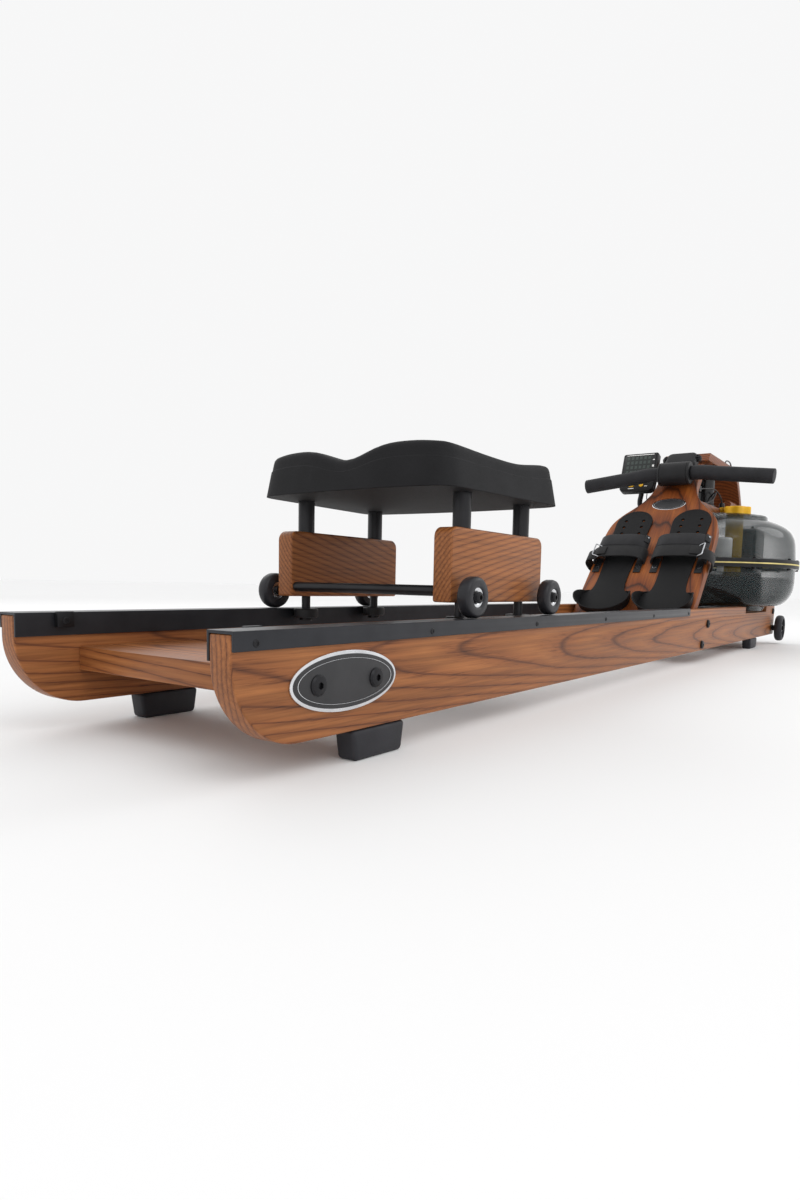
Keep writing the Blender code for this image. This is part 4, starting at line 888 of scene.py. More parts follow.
plate_side = list(PLATE_SIDE[:1]) + smooth_line(PLATE_SIDE[1:], 5)
plate_outline = plate_side + [(-y, s) for y, s in reversed(plate_side)]
footplate = plate("footplate_board", plate_outline, PLATE_THICKNESS, slope_plane(-PLATE_THICKNESS / 2), 0.0022, 3)
cut(footplate, belt_slot("footplate_slot"))
DEEP = ((152, 86, 36), (122, 62, 25), (62, 31, 15))
plate_wood = wood(
    "footplate_wood",
    (REAR_X + 1.55, 0.02, 0.37), (math.radians(2), math.radians(-3.5), math.radians(1)), (0, -FOOT_LEAN, 0),
    *DEEP,
    ring=0.0066,
)
dress(footplate, plate_wood, "frame", "stained_wood", "footplate")


def slope_face(n, s, y):
    """A frame on the footplate: local y up the slope, local z out of the wood."""
    turn = Matrix((Vector((0, -1, 0)), FOOT_S, FOOT_N)).transposed().to_4x4()
    return Matrix.Translation(on_slope(y, s, n)) @ turn


PLATE_BADGE_HALF, PLATE_BADGE_S, PLATE_BADGE_Y, BADGE_SUNK = (0.0425, 0.0218), 0.349, 0.0028, 0.0023
pocket_outline = oval(PLATE_BADGE_HALF[0] + 0.0002, PLATE_BADGE_HALF[1] + 0.0002)
cut(footplate, plate("badge_pocket", pocket_outline, 0.006, slope_face(0.0006, PLATE_BADGE_S, PLATE_BADGE_Y)))
oval_badge("plate_badge", PLATE_BADGE_HALF, 0.0022, slope_face(-BADGE_SUNK, PLATE_BADGE_S, PLATE_BADGE_Y))


# Footbeds: one sheet of ribbed rubber each, with a round toe and a scoop for the heel, slid up or down to fit a foot
# and pegged through pairs of holes.
FOOTBED_Y = 0.0715
TOE_S, TOE_HALF = 0.274, 0.046
HEEL_S, HEEL_HALF, HEEL_DEPTH = 0.005, 0.0605, 0.0385
SOLE_THICKNESS, PEG_HOLE_RADIUS = 0.0042, 0.0042


def ribbed_rubber(name):
    """Black rubber with fine ribs across the foot and a matt, slightly dusty surface."""
    made, add, into, place = new_material(name)
    along_foot = add("ShaderNodeMapping", Vector=place, Rotation=(0, FOOT_LEAN, 0)).outputs["Vector"]
    rib = add("ShaderNodeTexWave", {"bands_direction": "X"}, Vector=along_foot, Scale=0.314 / 0.0026).outputs["Fac"]
    cloud = noise(add, place, 22.0, 4.0)
    into("Base Color", shades(add, cloud, [(0.3, (0.006, 0.006, 0.0066, 1)), (0.75, (0.011, 0.011, 0.0118, 1))]))
    into("Roughness", greys(add, cloud, (0.3, 0.52), (0.7, 0.68)))
    into("Specular IOR Level", 0.22)
    into("Normal", add("ShaderNodeBump", Strength=0.35, Distance=0.0004, Height=rib).outputs["Normal"])
    return made


def grid_piece(name, rows):
    """A sheet of quads through rows of points."""
    deselect()
    across = len(rows[0])
    bpy.ops.mesh.primitive_grid_add(
        x_subdivisions=across - 1, y_subdivisions=len(rows) - 1, size=1, location=(0, 0, 0)
    )
    piece = named(name)
    for index, corner in enumerate(piece.data.vertices):
        corner.co = rows[index // across][index % across]
    return settle(piece)


sole_rubber = ribbed_rubber("footbed_rubber")
sole_side = [
    (0.0605, 0.026), (0.054, 0.033), (0.0425, 0.040), (0.0375, 0.055), (0.036, 0.085), (0.038, 0.140), (0.043, 0.220)
]
for side_name, side in (("left", 1), ("right", -1)):
    centre, body = side * FOOTBED_Y, side_name + "_bed"
    toe = arc((0, TOE_S), TOE_HALF, 0, 180, 28)
    heel = [
        (HEEL_HALF * math.cos(t), HEEL_S + HEEL_DEPTH * math.sin(t))
        for t in (math.pi * (1 + k / 28) for k in range(29))
    ]
    half_sole = smooth_line(sole_side, 4)
    sole_outline = half_sole + toe + [(-y, s) for y, s in reversed(half_sole)] + heel
    sole_place = slope_plane(0.0003 + SOLE_THICKNESS / 2, 0, centre)
    sole = plate(side_name + "_sole", sole_outline, SOLE_THICKNESS, sole_place, 0.0008)
    for s in (0.283, 0.260, 0.237):
        for y in (-0.0225, 0.0225):
            cut(sole, round_cutter(PEG_HOLE_RADIUS, 0.03, 20, slope_face(0.004, s, centre + y)))
    start = [
        (0.0445, 0.0405, 0.0035), (0.0520, 0.0350, 0.0080), (0.0580, 0.0285, 0.0170), (0.0600, 0.0190, 0.0255),
        (0.0605, 0.0110, 0.0300)
    ]
    turn_points = [
        (
            HEEL_HALF * math.cos(t), HEEL_S + HEEL_DEPTH * math.sin(t), 0.0315 - 0.0045 * math.sin(-t)
        ) for t in (-math.pi * k / 24 for k in range(25))
    ]
    wall_line = start + turn_points + [(-y, s, n) for y, s, n in reversed(start)]
    rows = []
    for y, s, height in wall_line:
        out_y, out_s = y / HEEL_HALF, (s - HEEL_S) / HEEL_DEPTH if s < HEEL_S else 0.0
        flare = 0.0065 * height / 0.03
        row = []
        for step in range(8):
            t = step / 7
            lean = flare * t * t
            row.append(on_slope(centre + y + out_y * lean, s + out_s * lean, 0.0022 + (height - 0.0022) * t))
        rows.append(row)
    scoop = grid_piece(side_name + "_heel_scoop", rows)
    apply_modifier(scoop, "SOLIDIFY", thickness=0.0028, offset=0)
    soften(scoop, 0.0007, 2, 40)
    footbed = named_as(join(sole, scoop), side_name + "_footbed_piece")
    dress(footbed, sole_rubber, body, "black_rubber", side_name + "_footbed", smooth=40)


# Foot straps: wide woven straps arched over each foot, the upper one padded, screwed to the footplate through tabs. The
# free end of the lower one passes a ring at the outer side and hangs in a loop past the footplate's edge.
STRAP_LINE = (
    (-0.064, 0.0004), (-0.064, 0.008), (-0.0605, 0.0165), (-0.054, 0.0235), (-0.042, 0.0285), (-0.022, 0.0305),
    (0, 0.031)
)


def webbing(name, colour=(0.006, 0.006, 0.0066, 1)):
    """Woven nylon: a fine twill weave that catches the light along its ridges."""
    made, add, into, place = new_material(name)
    warp = add(
        "ShaderNodeTexWave", {"bands_direction": "Y"}, Vector=place, Scale=210.0, Distortion=0.3
    ).outputs["Fac"]
    weft = add(
        "ShaderNodeTexWave", {"bands_direction": "Z"}, Vector=place, Scale=160.0, Distortion=0.3
    ).outputs["Fac"]
    weave = maths(add, "MULTIPLY", warp, weft)
    cloud = noise(add, place, 40.0, 3.0)
    lighter = tuple(c * 1.9 + 0.002 for c in colour[:3]) + (1.0,)
    into("Base Color", shades(add, cloud, [(0.3, colour), (0.8, lighter)]))
    into("Roughness", greys(add, weave, (0.2, 0.62), (0.8, 0.48)))
    into("Specular IOR Level", 0.25)
    into("Sheen Weight", 0.06)
    into("Normal", add("ShaderNodeBump", Strength=0.25, Distance=0.0003, Height=weave).outputs["Normal"])
    return made


def band(name, line, thickness, width, place, soft_edge):
    """A strap: a line of (across, out) points given a thickness on its inner side and a width along the slope."""
    return plate(name, list(line) + beside(line, thickness)[::-1], width, place, soft_edge)


def strap_place(s, y):
    turn = Matrix((Vector((0, 1, 0)), FOOT_N, FOOT_S)).transposed().to_4x4()
    return Matrix.Translation(on_slope(y, s, 0)) @ turn


def wire(name, path, radius, sides, closed=False):
    """A round section carried along a path."""
    curve = bpy.data.curves.new(name, "CURVE")
    curve.dimensions = "3D"
    curve.bevel_depth = radius
    curve.bevel_resolution = sides
    curve.use_fill_caps = not closed
    spline = curve.splines.new("POLY")
    spline.points.add(len(path) - 1)
    for point, place in zip(spline.points, path):
        point.co = (*place, 1)
    spline.use_cyclic_u = closed
    bar = bpy.data.objects.new(name, curve)
    scene.collection.objects.link(bar)
    only(bar)
    bpy.ops.object.convert(target="MESH")
    return bpy.context.object


strap_web = webbing("strap_webbing")
pad_cloth = webbing("strap_pad_cloth", (0.009, 0.009, 0.0105, 1))
ring_steel = coated_metal("ring_steel", (0.42, 0.43, 0.45, 1), 0.28, 1.0, (60.0, 60.0, 60.0))
tab_plastic = rubber("tab_plastic", (0.009, 0.009, 0.010, 1), 0.36, 700.0, 0.1)
half_line = smooth_line(STRAP_LINE, 3)
full_line = half_line + [(-y, n) for y, n in reversed(half_line[:-1])]
for side_name, side in (("left", 1), ("right", -1)):
    centre = side * FOOTBED_Y
    lower = band(side_name + "_lower_strap", full_line, 0.0026, 0.040, strap_place(0.151, centre), 0.0006)
    dress(lower, strap_web, "frame", "webbing", side_name + "_foot_strap", smooth=50)
    pad_line = [(y * 0.985, n + 0.0012) for y, n in full_line if n > 0.006]
    upper = band(side_name + "_strap_pad", pad_line, 0.0050, 0.038, strap_place(0.1865, centre), 0.0018)
    dress(upper, pad_cloth, "frame", "webbing", smooth=60)
    loop_line = smooth_line(
        [
            (0.052, 0.0262), (0.064, 0.0270), (0.074, 0.0235), (0.0805, 0.0140), (0.0810, 0.0010), (0.0770, -0.0130),
            (0.0705, -0.0215)
        ],
        4
    )
    loop = band(
        side_name + "_strap_loop", [(side * y, n) for y, n in loop_line][::side], 0.0022, 0.030,
        strap_place(0.138, centre), 0.0005
    )
    dress(loop, strap_web, "frame", "webbing", smooth=50)
    tail_line = smooth_line([(0.030, 0.0328), (0.046, 0.0312), (0.058, 0.0265), (0.068, 0.0180), (0.0715, 0.0060)], 4)
    tail = band(
        side_name + "_strap_tail", [(side * y, n) for y, n in tail_line][::side], 0.0020, 0.026,
        strap_place(0.149, centre), 0.0005
    )
    dress(tail, strap_web, "frame", "webbing", smooth=50)
    ring_path = [
        (0.0, -0.018, 0), (0.007, -0.018, 0), (0.008, -0.016, 0), (0.008, 0.016, 0), (0.007, 0.018, 0),
        (-0.007, 0.018, 0), (-0.008, 0.016, 0), (-0.008, -0.016, 0), (-0.007, -0.018, 0)
    ]
    ring = wire(side_name + "_strap_ring", ring_path, 0.0015, 3, True)
    ring.matrix_world = slope_face(
        0.0300, 0.150, centre + side * 0.053
    ) @ Matrix.Rotation(math.radians(32 * side), 4, "Y")
    dress(settle(ring), ring_steel, "frame", "pale_plastic", smooth=60)
    corner = plate(
        side_name + "_strap_corner", rectangle(-0.007, -0.011, 0.007, 0.011), 0.0024,
        slope_face(0.0205, 0.1965, centre - 0.0590) @ Matrix.Rotation(math.radians(48), 4, "Y"), 0.0008
    )
    dress(corner, tab_plastic, "frame", "black_plastic")
    rivet = socket_bolt(
        side_name + "_corner_rivet", on_slope(centre - 0.0605, 0.2005, 0.0210), FOOT_N * 0.7 - Vector((0, 0.7, 0)),
        0.0024, 0.0018, 0.0008, 0.0006
    )
    dress(rivet, ring_steel, "frame", "pale_plastic")
    for tab_side in (-1, 1):
        y = centre + tab_side * 0.0515
        tab = plate(
            f"{side_name}_tab_{tab_side + 1}", rectangle(-0.0085, 0.103, 0.0085, 0.150), 0.0026,
            slope_plane(0.0016, 0, y), 0.0010
        )
        dress(tab, tab_plastic, "frame", "black_plastic")
        screw = socket_bolt(
            f"{side_name}_tab_screw_{tab_side + 1}", on_slope(y, 0.121, 0.0028), FOOT_N, 0.0042, 0.0016, 0.0022,
            0.0008
        )
        dress(screw, bolt_black, "frame", "black_steel")
        eyelet = lathe(
            f"{side_name}_tab_eyelet_{tab_side + 1}", [(0.0052, 0.0006), (0.0052, 0), (0.0044, 0), (0.0044, 0.0006)],
            slope_face(0.0028, 0.121, y), 24, True
        )
        dress(eyelet, ring_steel, "frame", "pale_plastic")


# Handle: a black steel tube bent slightly back at its ends, foam grips pushed over it and a moulded cover clamped round
# its middle, where the belt is held.
HANDLE_CENTRE = (REAR_X + 1.5641, 0.0, HANDLE_HEIGHT)
HANDLE_END = (REAR_X + 1.5590, 0.2375, 0.4325)
COVER_HALF, COVER_RADIUS, GRIP_RADIUS = 0.0405, 0.0290, 0.0180


def tube(name, points, radius, steps=4, sides=4):
    """A round bar along a smooth curve through the points."""
    bar = wire(name, smooth_line(points, steps), radius, sides)
    bpy.ops.object.mode_set(mode="EDIT")
    bpy.ops.mesh.select_all(action="SELECT")
    bpy.ops.mesh.remove_doubles(threshold=0.00001)
    bpy.ops.mesh.normals_make_consistent(inside=False)
    bpy.ops.object.mode_set(mode="OBJECT")
    return settle(bar)


def handle_points(start, stop):
    """The handlebar's line between two distances from its middle, on the left side."""
    found = []
    for y in [start] + [s for s in (0.06, 0.08, 0.10, 0.15, 0.20) if start < s < stop] + [stop]:
        bend = max(y - 0.06, 0) / (HANDLE_END[1] - 0.06)
        ease = bend if bend > 0.2 else 5 * bend * bend
        x = HANDLE_CENTRE[0] + (HANDLE_END[0] - HANDLE_CENTRE[0]) * ease
        found.append((x, y, HANDLE_CENTRE[2] + (HANDLE_END[2] - HANDLE_CENTRE[2]) * ease))
    return found


grip_foam = rubber("grip_foam", (0.013, 0.013, 0.015, 1), 0.58, 800.0, 0.4)
cover_rubber = rubber("cover_rubber", (0.009, 0.009, 0.010, 1), 0.46, 1000.0, 0.3)
left_half = handle_points(0.0, HANDLE_END[1] - 0.014)
bar_line = [(x, -y, z) for x, y, z in reversed(left_half[1:])] + left_half
handlebar = tube("handlebar_tube", bar_line, 0.011, 2)
dress(handlebar, post_black, "handle", "black_steel", "handlebar", smooth=50)
for side_name, side in (("left", 1), ("right", -1)):
    grip_line = [(x, side * y, z) for x, y, z in handle_points(COVER_HALF + 0.0015, HANDLE_END[1])]
    grip = tube(side_name + "_grip_foam", grip_line, GRIP_RADIUS, 3, 7)
    soften(grip, 0.0045, 4, 60)
    dress(grip, grip_foam, "handle", "black_rubber", side_name + "_grip", smooth=45)
cover_profile = [
    (0.0125, COVER_HALF), (COVER_RADIUS - 0.0045, COVER_HALF), (COVER_RADIUS - 0.0015, COVER_HALF - 0.0012),
    (COVER_RADIUS, COVER_HALF - 0.0042), (COVER_RADIUS, 0.0345), (COVER_RADIUS - 0.0010, 0.0340),
    (COVER_RADIUS - 0.0010, 0.0332), (COVER_RADIUS, 0.0327), (COVER_RADIUS, -0.0327),
    (COVER_RADIUS - 0.0010, -0.0332), (COVER_RADIUS - 0.0010, -0.0340), (COVER_RADIUS, -0.0345),
    (COVER_RADIUS, 0.0042 - COVER_HALF), (COVER_RADIUS - 0.0015, 0.0012 - COVER_HALF),
    (COVER_RADIUS - 0.0045, -COVER_HALF), (0.0125, -COVER_HALF),
]
cover = lathe("handle_cover_shell", cover_profile, along(HANDLE_CENTRE, (0, 1, 0)), 64, True)
dress(cover, cover_rubber, "handle", "black_rubber", "handle_cover", smooth=40)


# Belt: a flat woven drive belt on edge, from the handle's cover through the footplate, past a guide roller and onto the
# drum.
BELT_START_X, GUIDE_X, TANK_X = 1.5935, 1.700, 1.867
BELT_HEIGHT, BELT_THICKNESS = 0.024, 0.0016
belt_line = [(BELT_START_X + (GUIDE_X - BELT_START_X) * k / 60, 0.0) for k in range(61)]
belt_line += smooth_line([(GUIDE_X, 0), (1.730, 0.004), (1.820, 0.0226), (1.845, 0.0256), (TANK_X, 0.0256)], 8)[1:]
rows = [[(REAR_X + x, y, HANDLE_HEIGHT + BELT_HEIGHT * (k / 4 - 0.5)) for k in range(5)] for x, y in belt_line]
belt = grid_piece("drive_belt_strip", rows)
apply_modifier(belt, "SOLIDIFY", thickness=BELT_THICKNESS, offset=0)
only(belt)
bpy.ops.object.mode_set(mode="EDIT")
bpy.ops.mesh.select_all(action="SELECT")
bpy.ops.mesh.normals_make_consistent(inside=False)
bpy.ops.object.mode_set(mode="OBJECT")
belt.data.materials.append(strap_web)
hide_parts("drive_belt")
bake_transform(belt)


# Belt housing and guide roller: a moulded cap screwed over the belt's slot, and a flanged roller behind the footplate
# that steers the belt to the drum.
housing_outline = arc((0.024, 0.499), 0.016, 0, 90, 8) + arc((-0.024, 0.499), 0.016, 90, 180, 8)
housing_outline += arc((-0.030, 0.476), 0.010, 180, 270, 5) + arc((0.030, 0.476), 0.010, 270, 360, 5)
housing = plate("pulley_housing_cap", housing_outline, 0.034, slope_plane(0.0173), 0.0105, 6)
cut(housing, belt_slot("housing_slot"))
cap_plastic = rubber("housing_plastic", (0.009, 0.009, 0.010, 1), 0.40, 900.0, 0.2)
dress(housing, cap_plastic, "frame", "black_plastic", "pulley_housing", smooth=40)
for side_name, side in (("left", 1), ("right", -1)):
    ear_outline = arc((0, 0), 0.0095, 0, 360, 24)[:-1]
    ear = plate(side_name + "_housing_ear", ear_outline, 0.010, slope_plane(0.0225, 0.497, side * 0.0405), 0.002)
    dress(ear, cap_plastic, "frame", "black_plastic", smooth=40)
    ear_bolt = socket_bolt(
        side_name + "_housing_bolt", on_slope(side * 0.0405, 0.497, 0.0275), FOOT_N, 0.0058, 0.0045, 0.0026, 0.0008
    )
    dress(ear_bolt, bolt_black, "frame", "black_steel")
guide_profile = [
    (0.004, 0.0135), (0.0130, 0.0135), (0.0130, 0.0125), (0.0110, 0.0120), (0.0110, -0.0120), (0.0130, -0.0125),
    (0.0130, -0.0135), (0.004, -0.0135),
]
guide = lathe(
    "guide_pulley_roller", guide_profile, Matrix.Translation((REAR_X + GUIDE_X, -0.0121, HANDLE_HEIGHT)), 48, True
)
dress(guide, post_black, "pulley", "black_plastic", "guide_pulley")


# Bridge: a bent ash board from the top of the footplate over the drum and down to a flat base board on the tank's lid.
# A wire hook for hanging the handle up, a dowel and a cord end are fixed to it.
def from_rear(points):
    """Places in the machine's frame, from lengths measured from the boards' rear end."""
    return [(REAR_X + x, y, z) for x, y, z in points]


BRIDGE_TOP = (
    (1.935, 0.518), (1.968, 0.513), (1.996, 0.500), (2.020, 0.478), (2.042, 0.452), (2.066, 0.4187), (2.086, 0.3903)
)
BRIDGE_HALF, BRIDGE_THICKNESS = 0.060, 0.022
BASE_HALF, BASE_Z = 0.052, (0.368, 0.390)
KNOB_Y, KNOB_RADIUS = -0.086, 0.041
bridge_outer = smooth_line(BRIDGE_TOP, 4)
bridge_inner = beside(bridge_outer, BRIDGE_THICKNESS)
bridge_inner[-1] = (bridge_inner[-1][0] + 0.006, bridge_outer[-1][1])


def plate_x(z, depth=0.0):
    """How far forward the footplate's face is at a height, a depth behind its front."""
    s = (z - FOOT_ORIGIN.z + FOOT_N.z * depth) / FOOT_S.z
    return FOOT_ORIGIN.x - REAR_X + FOOT_S.x * s - FOOT_N.x * depth


top_z, low_z = BRIDGE_TOP[0][1], BRIDGE_TOP[0][1] - BRIDGE_THICKNESS
bridge_outline = [(plate_x(low_z), low_z)] + bridge_inner + bridge_outer[::-1] + [(plate_x(top_z), top_z)]
bridge = plate("bridge_board", bridge_outline, 2 * BRIDGE_HALF, upright(0), 0.0022, 3)
bridge_wood = wood(
    "bridge_wood", (REAR_X + 1.98, 0.01, 0.30), (0, math.radians(8), math.radians(2)), (0, 0, 0), (140, 80, 42),
    (112, 60, 32), (66, 34, 19), 0.0070
)
dress(bridge, bridge_wood, "frame", "stained_wood", "bridge")
base_back = PLATE_THICKNESS + 0.0006
base_outline = [
    (plate_x(BASE_Z[0], base_back), BASE_Z[0]), (2.034, BASE_Z[0]), (2.090, BASE_Z[1]),
    (plate_x(BASE_Z[1], base_back), BASE_Z[1])
]
base = plate("bridge_base_board", base_outline, 2 * BASE_HALF, upright(0), 0.0012)
for x, y, radius in ((TANK_X, 0.0, 0.016), (TANK_X, KNOB_Y, KNOB_RADIUS + 0.006), (1.608, -0.016, 0.009)):
    cut(base, round_cutter(radius, 0.1, 48, Matrix.Translation((REAR_X + x, y, 0.38))))
dress(base, bridge_wood, "frame", "stained_wood", "bridge_base")
hook_line = (
    (1.952, -0.03, 0.512), (1.952, -0.03, 0.534), (1.966, -0.03, 0.5445), (1.995, -0.03, 0.5470),
    (2.018, -0.03, 0.5440), (2.030, -0.03, 0.5330), (2.031, -0.03, 0.5180),
)
hook = tube("handle_hook", from_rear(hook_line), 0.0021)
dress(hook, post_black, "frame", "black_steel", smooth=60)
dowel = lathe(
    "bridge_dowel", [(0, 0.092), (0.0105, 0.092), (0.0105, 0.0012), (0.0095, 0), (0, 0)],
    along((REAR_X + 1.948, -0.044, 0.4150), (1, 0, 0)), 32
)
dress(dowel, bridge_wood, "frame", "stained_wood")
fitting_profile = [(0, 0.020), (0.0050, 0.020), (0.0075, 0.017), (0.0075, 0.003), (0.0060, 0), (0, 0)]
fitting = lathe("cord_fitting", fitting_profile, along((REAR_X + 1.884, -0.044, 0.3915), (0, 0, 1)), 24)
dress(fitting, cap_plastic, "frame", "black_plastic", smooth=40)
lead_line = from_rear(
    (
        (1.700, -0.026, 0.4310), (1.760, -0.030, 0.4385), (1.815, -0.0345, 0.4440), (1.850, -0.039, 0.4370),
        (1.876, -0.043, 0.4220), (1.884, -0.044, 0.4080)
    )
)
lead = tube("pickup_lead", lead_line, 0.0019)
dress(lead, cap_plastic, "frame", "black_plastic", smooth=60)
pickup = plate("speed_pickup", rectangle(1.684, 0.4225, 1.702, 0.4375), 0.012, upright(-0.026), 0.0015)
dress(pickup, cap_plastic, "frame", "black_plastic")


# Drum: a glossy black hub of moulded plastic on top of the shaft, with a flange at its foot. The belt winds round it
# and turns it.
drum_profile = [
    (0, 0.4780), (0.0100, 0.4780), (0.0110, 0.4760), (0.0225, 0.4760), (0.0245, 0.4745), (0.0245, 0.4060),
    (0.0290, 0.4035), (0.0295, 0.4025), (0.0295, 0.3945), (0.0285, 0.3935), (0, 0.3935),
]
gloss_black = coated_metal("drum_black", (0.006, 0.006, 0.007, 1), 0.2, 0.0, (60.0, 60.0, 400.0))
drum = lathe("belt_drum_hub", drum_profile, Matrix.Translation((REAR_X + TANK_X, 0, 0)), 64)
dress(drum, gloss_black, "drum", "black_plastic", "belt_drum")


# Tank: two blow-moulded shells of smoke-grey clear plastic bolted together at their flanges over a pale yellow gasket.
# A ring wall inside guides the water on to the paddle wheel. The lower shell holds water to just under its marks.
LOWER_SHELL = (
    (0.2585, 0.2303), (0.2585, 0.2215), (0.2501, 0.2175), (0.2501, 0.1850), (0.2458, 0.1580), (0.2331, 0.1351),
    (0.2136, 0.1208), (0.1830, 0.1180), (0.1780, 0.1150), (0.1720, 0.1040),
)
UPPER_SHELL = (
    (0.0160, 0.3675), (0.1685, 0.3675), (0.1705, 0.3645), (0.1715, 0.3555), (0.1900, 0.3490), (0.2118, 0.3392),
    (0.2290, 0.3265), (0.2385, 0.3130), (0.2455, 0.2928), (0.2495, 0.2461), (0.2585, 0.2431), (0.2585, 0.2342),
)
SHELL_WALL = 0.003
WATER_Z = 0.196


def clear_plastic(name, tint, face_share, edge_share, roughness=0.06):
    """Tinted clear plastic, closer to solid where it is seen at a slant, with faint flow marks."""
    made, add, into, place = new_material(name)
    flow_way = stretched(add, place, (6.0, 6.0, 22.0))
    flow = noise(add, flow_way, 1.0, 3.0)
    slant = add("ShaderNodeLayerWeight", Blend=0.35).outputs["Facing"]
    deeper = tuple(c * 0.8 for c in tint[:3]) + (1.0,)
    into("Base Color", shades(add, flow, [(0.3, tint), (0.7, deeper)]))
    into("Alpha", greys(add, slant, (0.25, face_share), (0.95, edge_share)))
    into("Roughness", greys(add, flow, (0.2, roughness), (0.8, roughness + 0.05)))
    into("Specular IOR Level", 0.5)
    return made


tank_axis = Matrix.Translation((REAR_X + TANK_X, 0, 0))
smoke = clear_plastic("smoke_grey_plastic", (0.008, 0.019, 0.021, 1), 0.27, 0.80)
lower_line = smooth_line(LOWER_SHELL[3:8], 4)
lower_outer = list(LOWER_SHELL[:3]) + lower_line + list(LOWER_SHELL[8:])
upper_line = smooth_line(UPPER_SHELL[3:10], 4)
upper_outer = list(UPPER_SHELL[:3]) + upper_line + list(UPPER_SHELL[10:])


def shell_profile(outer):
    """The outer line followed by the same line a wall's thickness inside it."""
    return list(outer) + beside(outer, SHELL_WALL)[::-1]


upper_profile = shell_profile(upper_outer)
upper_profile[len(upper_outer)] = (0.2475, 0.2342)
upper_profile[-1] = (0.0160, 0.3675 - SHELL_WALL)
upper_shell = lathe("tank_upper_piece", upper_profile, tank_axis, 128, True)
dress(upper_shell, smoke, "frame", "smoky_tank", "tank_upper_shell", smooth=40)
lower_profile = shell_profile(lower_outer)
lower_profile[-1] = (0.2475, 0.2303)
lower_shell = lathe("tank_lower_piece", lower_profile, tank_axis, 128, True)
dress(lower_shell, smoke, "frame", "smoky_tank", "tank_lower_shell", smooth=40)
gasket_rubber = rubber("gasket_rubber", (0.62, 0.52, 0.20, 1), 0.5, 500.0, 0.15)
gasket = lathe(
    "tank_gasket_ring", [(0.2470, 0.2308), (0.2470, 0.2338), (0.2592, 0.2338), (0.2595, 0.2323), (0.2592, 0.2308)],
    tank_axis, 128, True
)
dress(gasket, gasket_rubber, "frame", "gasket_yellow", "tank_gasket")
for clamp_name, low, high in (("upper_clamp", 0.2345, 0.2438), ("lower_clamp", 0.2212, 0.2301)):
    clamp = lathe(
        clamp_name, [(0.2587, low), (0.2587, high), (0.2593, high - 0.0004), (0.2593, low + 0.0004)], tank_axis, 128,
        True
    )
    dress(clamp, cap_plastic, "frame", "black_plastic")
clamp_bolts = []
for number in range(12):
    turn = math.radians(15 + 30 * number)
    x, y = REAR_X + TANK_X + 0.2545 * math.cos(turn), 0.2545 * math.sin(turn)
    clamp_bolts.append(socket_bolt(f"clamp_bolt_{number}", (x, y, 0.2436), (0, 0, 1), 0.0044, 0.0046, 0.0022, 0.0006))
    clamp_bolts.append(socket_bolt(f"clamp_nut_{number}", (x, y, 0.2210), (0, 0, -1), 0.0046, 0.0042, 0.0020))
dress(named_as(join(*clamp_bolts), "clamp_bolts"), bolt_black, "frame", "black_steel")
water_line = [(r - 0.0046, z) for r, z in lower_outer if z < WATER_Z - 0.003 and r < 0.251]
water_ring = [(0.1685, WATER_Z), (0.2450, WATER_Z)] + water_line[:-3] + [(0.1830, 0.1228), (0.1700, 0.1228)]
dark_water = clear_plastic("tank_water", (0.008, 0.014, 0.015, 1), 0.42, 0.60, 0.02)
water = lathe("tank_water_ring", water_ring, tank_axis, 128, True)
dress(water, dark_water, "frame", "smoky_tank", smooth=40)
ring_wall_profile = [
    (0.1650, 0.2070), (0.1640, 0.2100), (0.1450, 0.2100), (0.1450, 0.2075), (0.1610, 0.2070), (0.1620, 0.2050),
    (0.1620, 0.1083), (0.1650, 0.1083)
]
ring_wall = lathe("inner_ring_wall", ring_wall_profile, tank_axis, 96, True)
wall_smoke = clear_plastic("ring_wall_plastic", (0.008, 0.011, 0.012, 1), 0.50, 0.80, 0.12)
dress(ring_wall, wall_smoke, "frame", "smoky_tank", "inner_tank_wall", smooth=40)


# Inside the tank: a paddle wheel on a long shaft, a pale float tube, the dark reservoir that the water level is set
# with and its bent drain tube.
pale_moulding = rubber("pale_moulding", (0.62, 0.64, 0.64, 1), 0.42, 300.0, 0.1)
shaft = lathe(
    "paddle_shaft",
    [
        (0, 0.3932), (0.0072, 0.3932), (0.008, 0.3924), (0.008, 0.176), (0.0185, 0.176), (0.020, 0.1745),
        (0.020, 0.1195), (0.0185, 0.118), (0.008, 0.118), (0.008, 0.1108), (0.0072, 0.110), (0, 0.110)
    ],
    tank_axis, 48
)
paddles = []
for number in range(3):
    deselect()
    bpy.ops.mesh.primitive_cube_add(size=1, location=(0, 0, 0.147))
    paddle = named(f"paddle_{number}")
    paddle.scale = (0.300, 0.004, 0.046)
    settle(paddle)
    soften(paddle, 0.0012, 2)
    paddle.matrix_world = tank_axis @ Matrix.Rotation(math.radians(60 * number), 4, "Z")
    paddles.append(settle(paddle))
dress(named_as(join(shaft, *paddles), "paddle_wheel"), pale_moulding, "impeller_body", "pale_plastic", "impeller")
float_profile = [
    (0, 0.3060), (0.0230, 0.3060), (0.0265, 0.3045), (0.0280, 0.3010), (0.0280, 0.2420), (0.0265, 0.2400), (0, 0.2400)
]
float_tube = lathe("float_tube", float_profile, Matrix.Translation((REAR_X + 1.800, -0.070, 0)), 48)
dress(float_tube, pale_moulding, "frame", "pale_plastic", smooth=45)
float_stem = lathe(
    "float_stem", [(0, 0.2398), (0.009, 0.2398), (0.009, 0.2104), (0, 0.2104)],
    Matrix.Translation((REAR_X + 1.800, -0.070, 0)), 24
)
dress(float_stem, pale_moulding, "frame", "pale_plastic")
reservoir_smoke = clear_plastic("reservoir_plastic", (0.006, 0.010, 0.011, 1), 0.82, 0.94, 0.18)
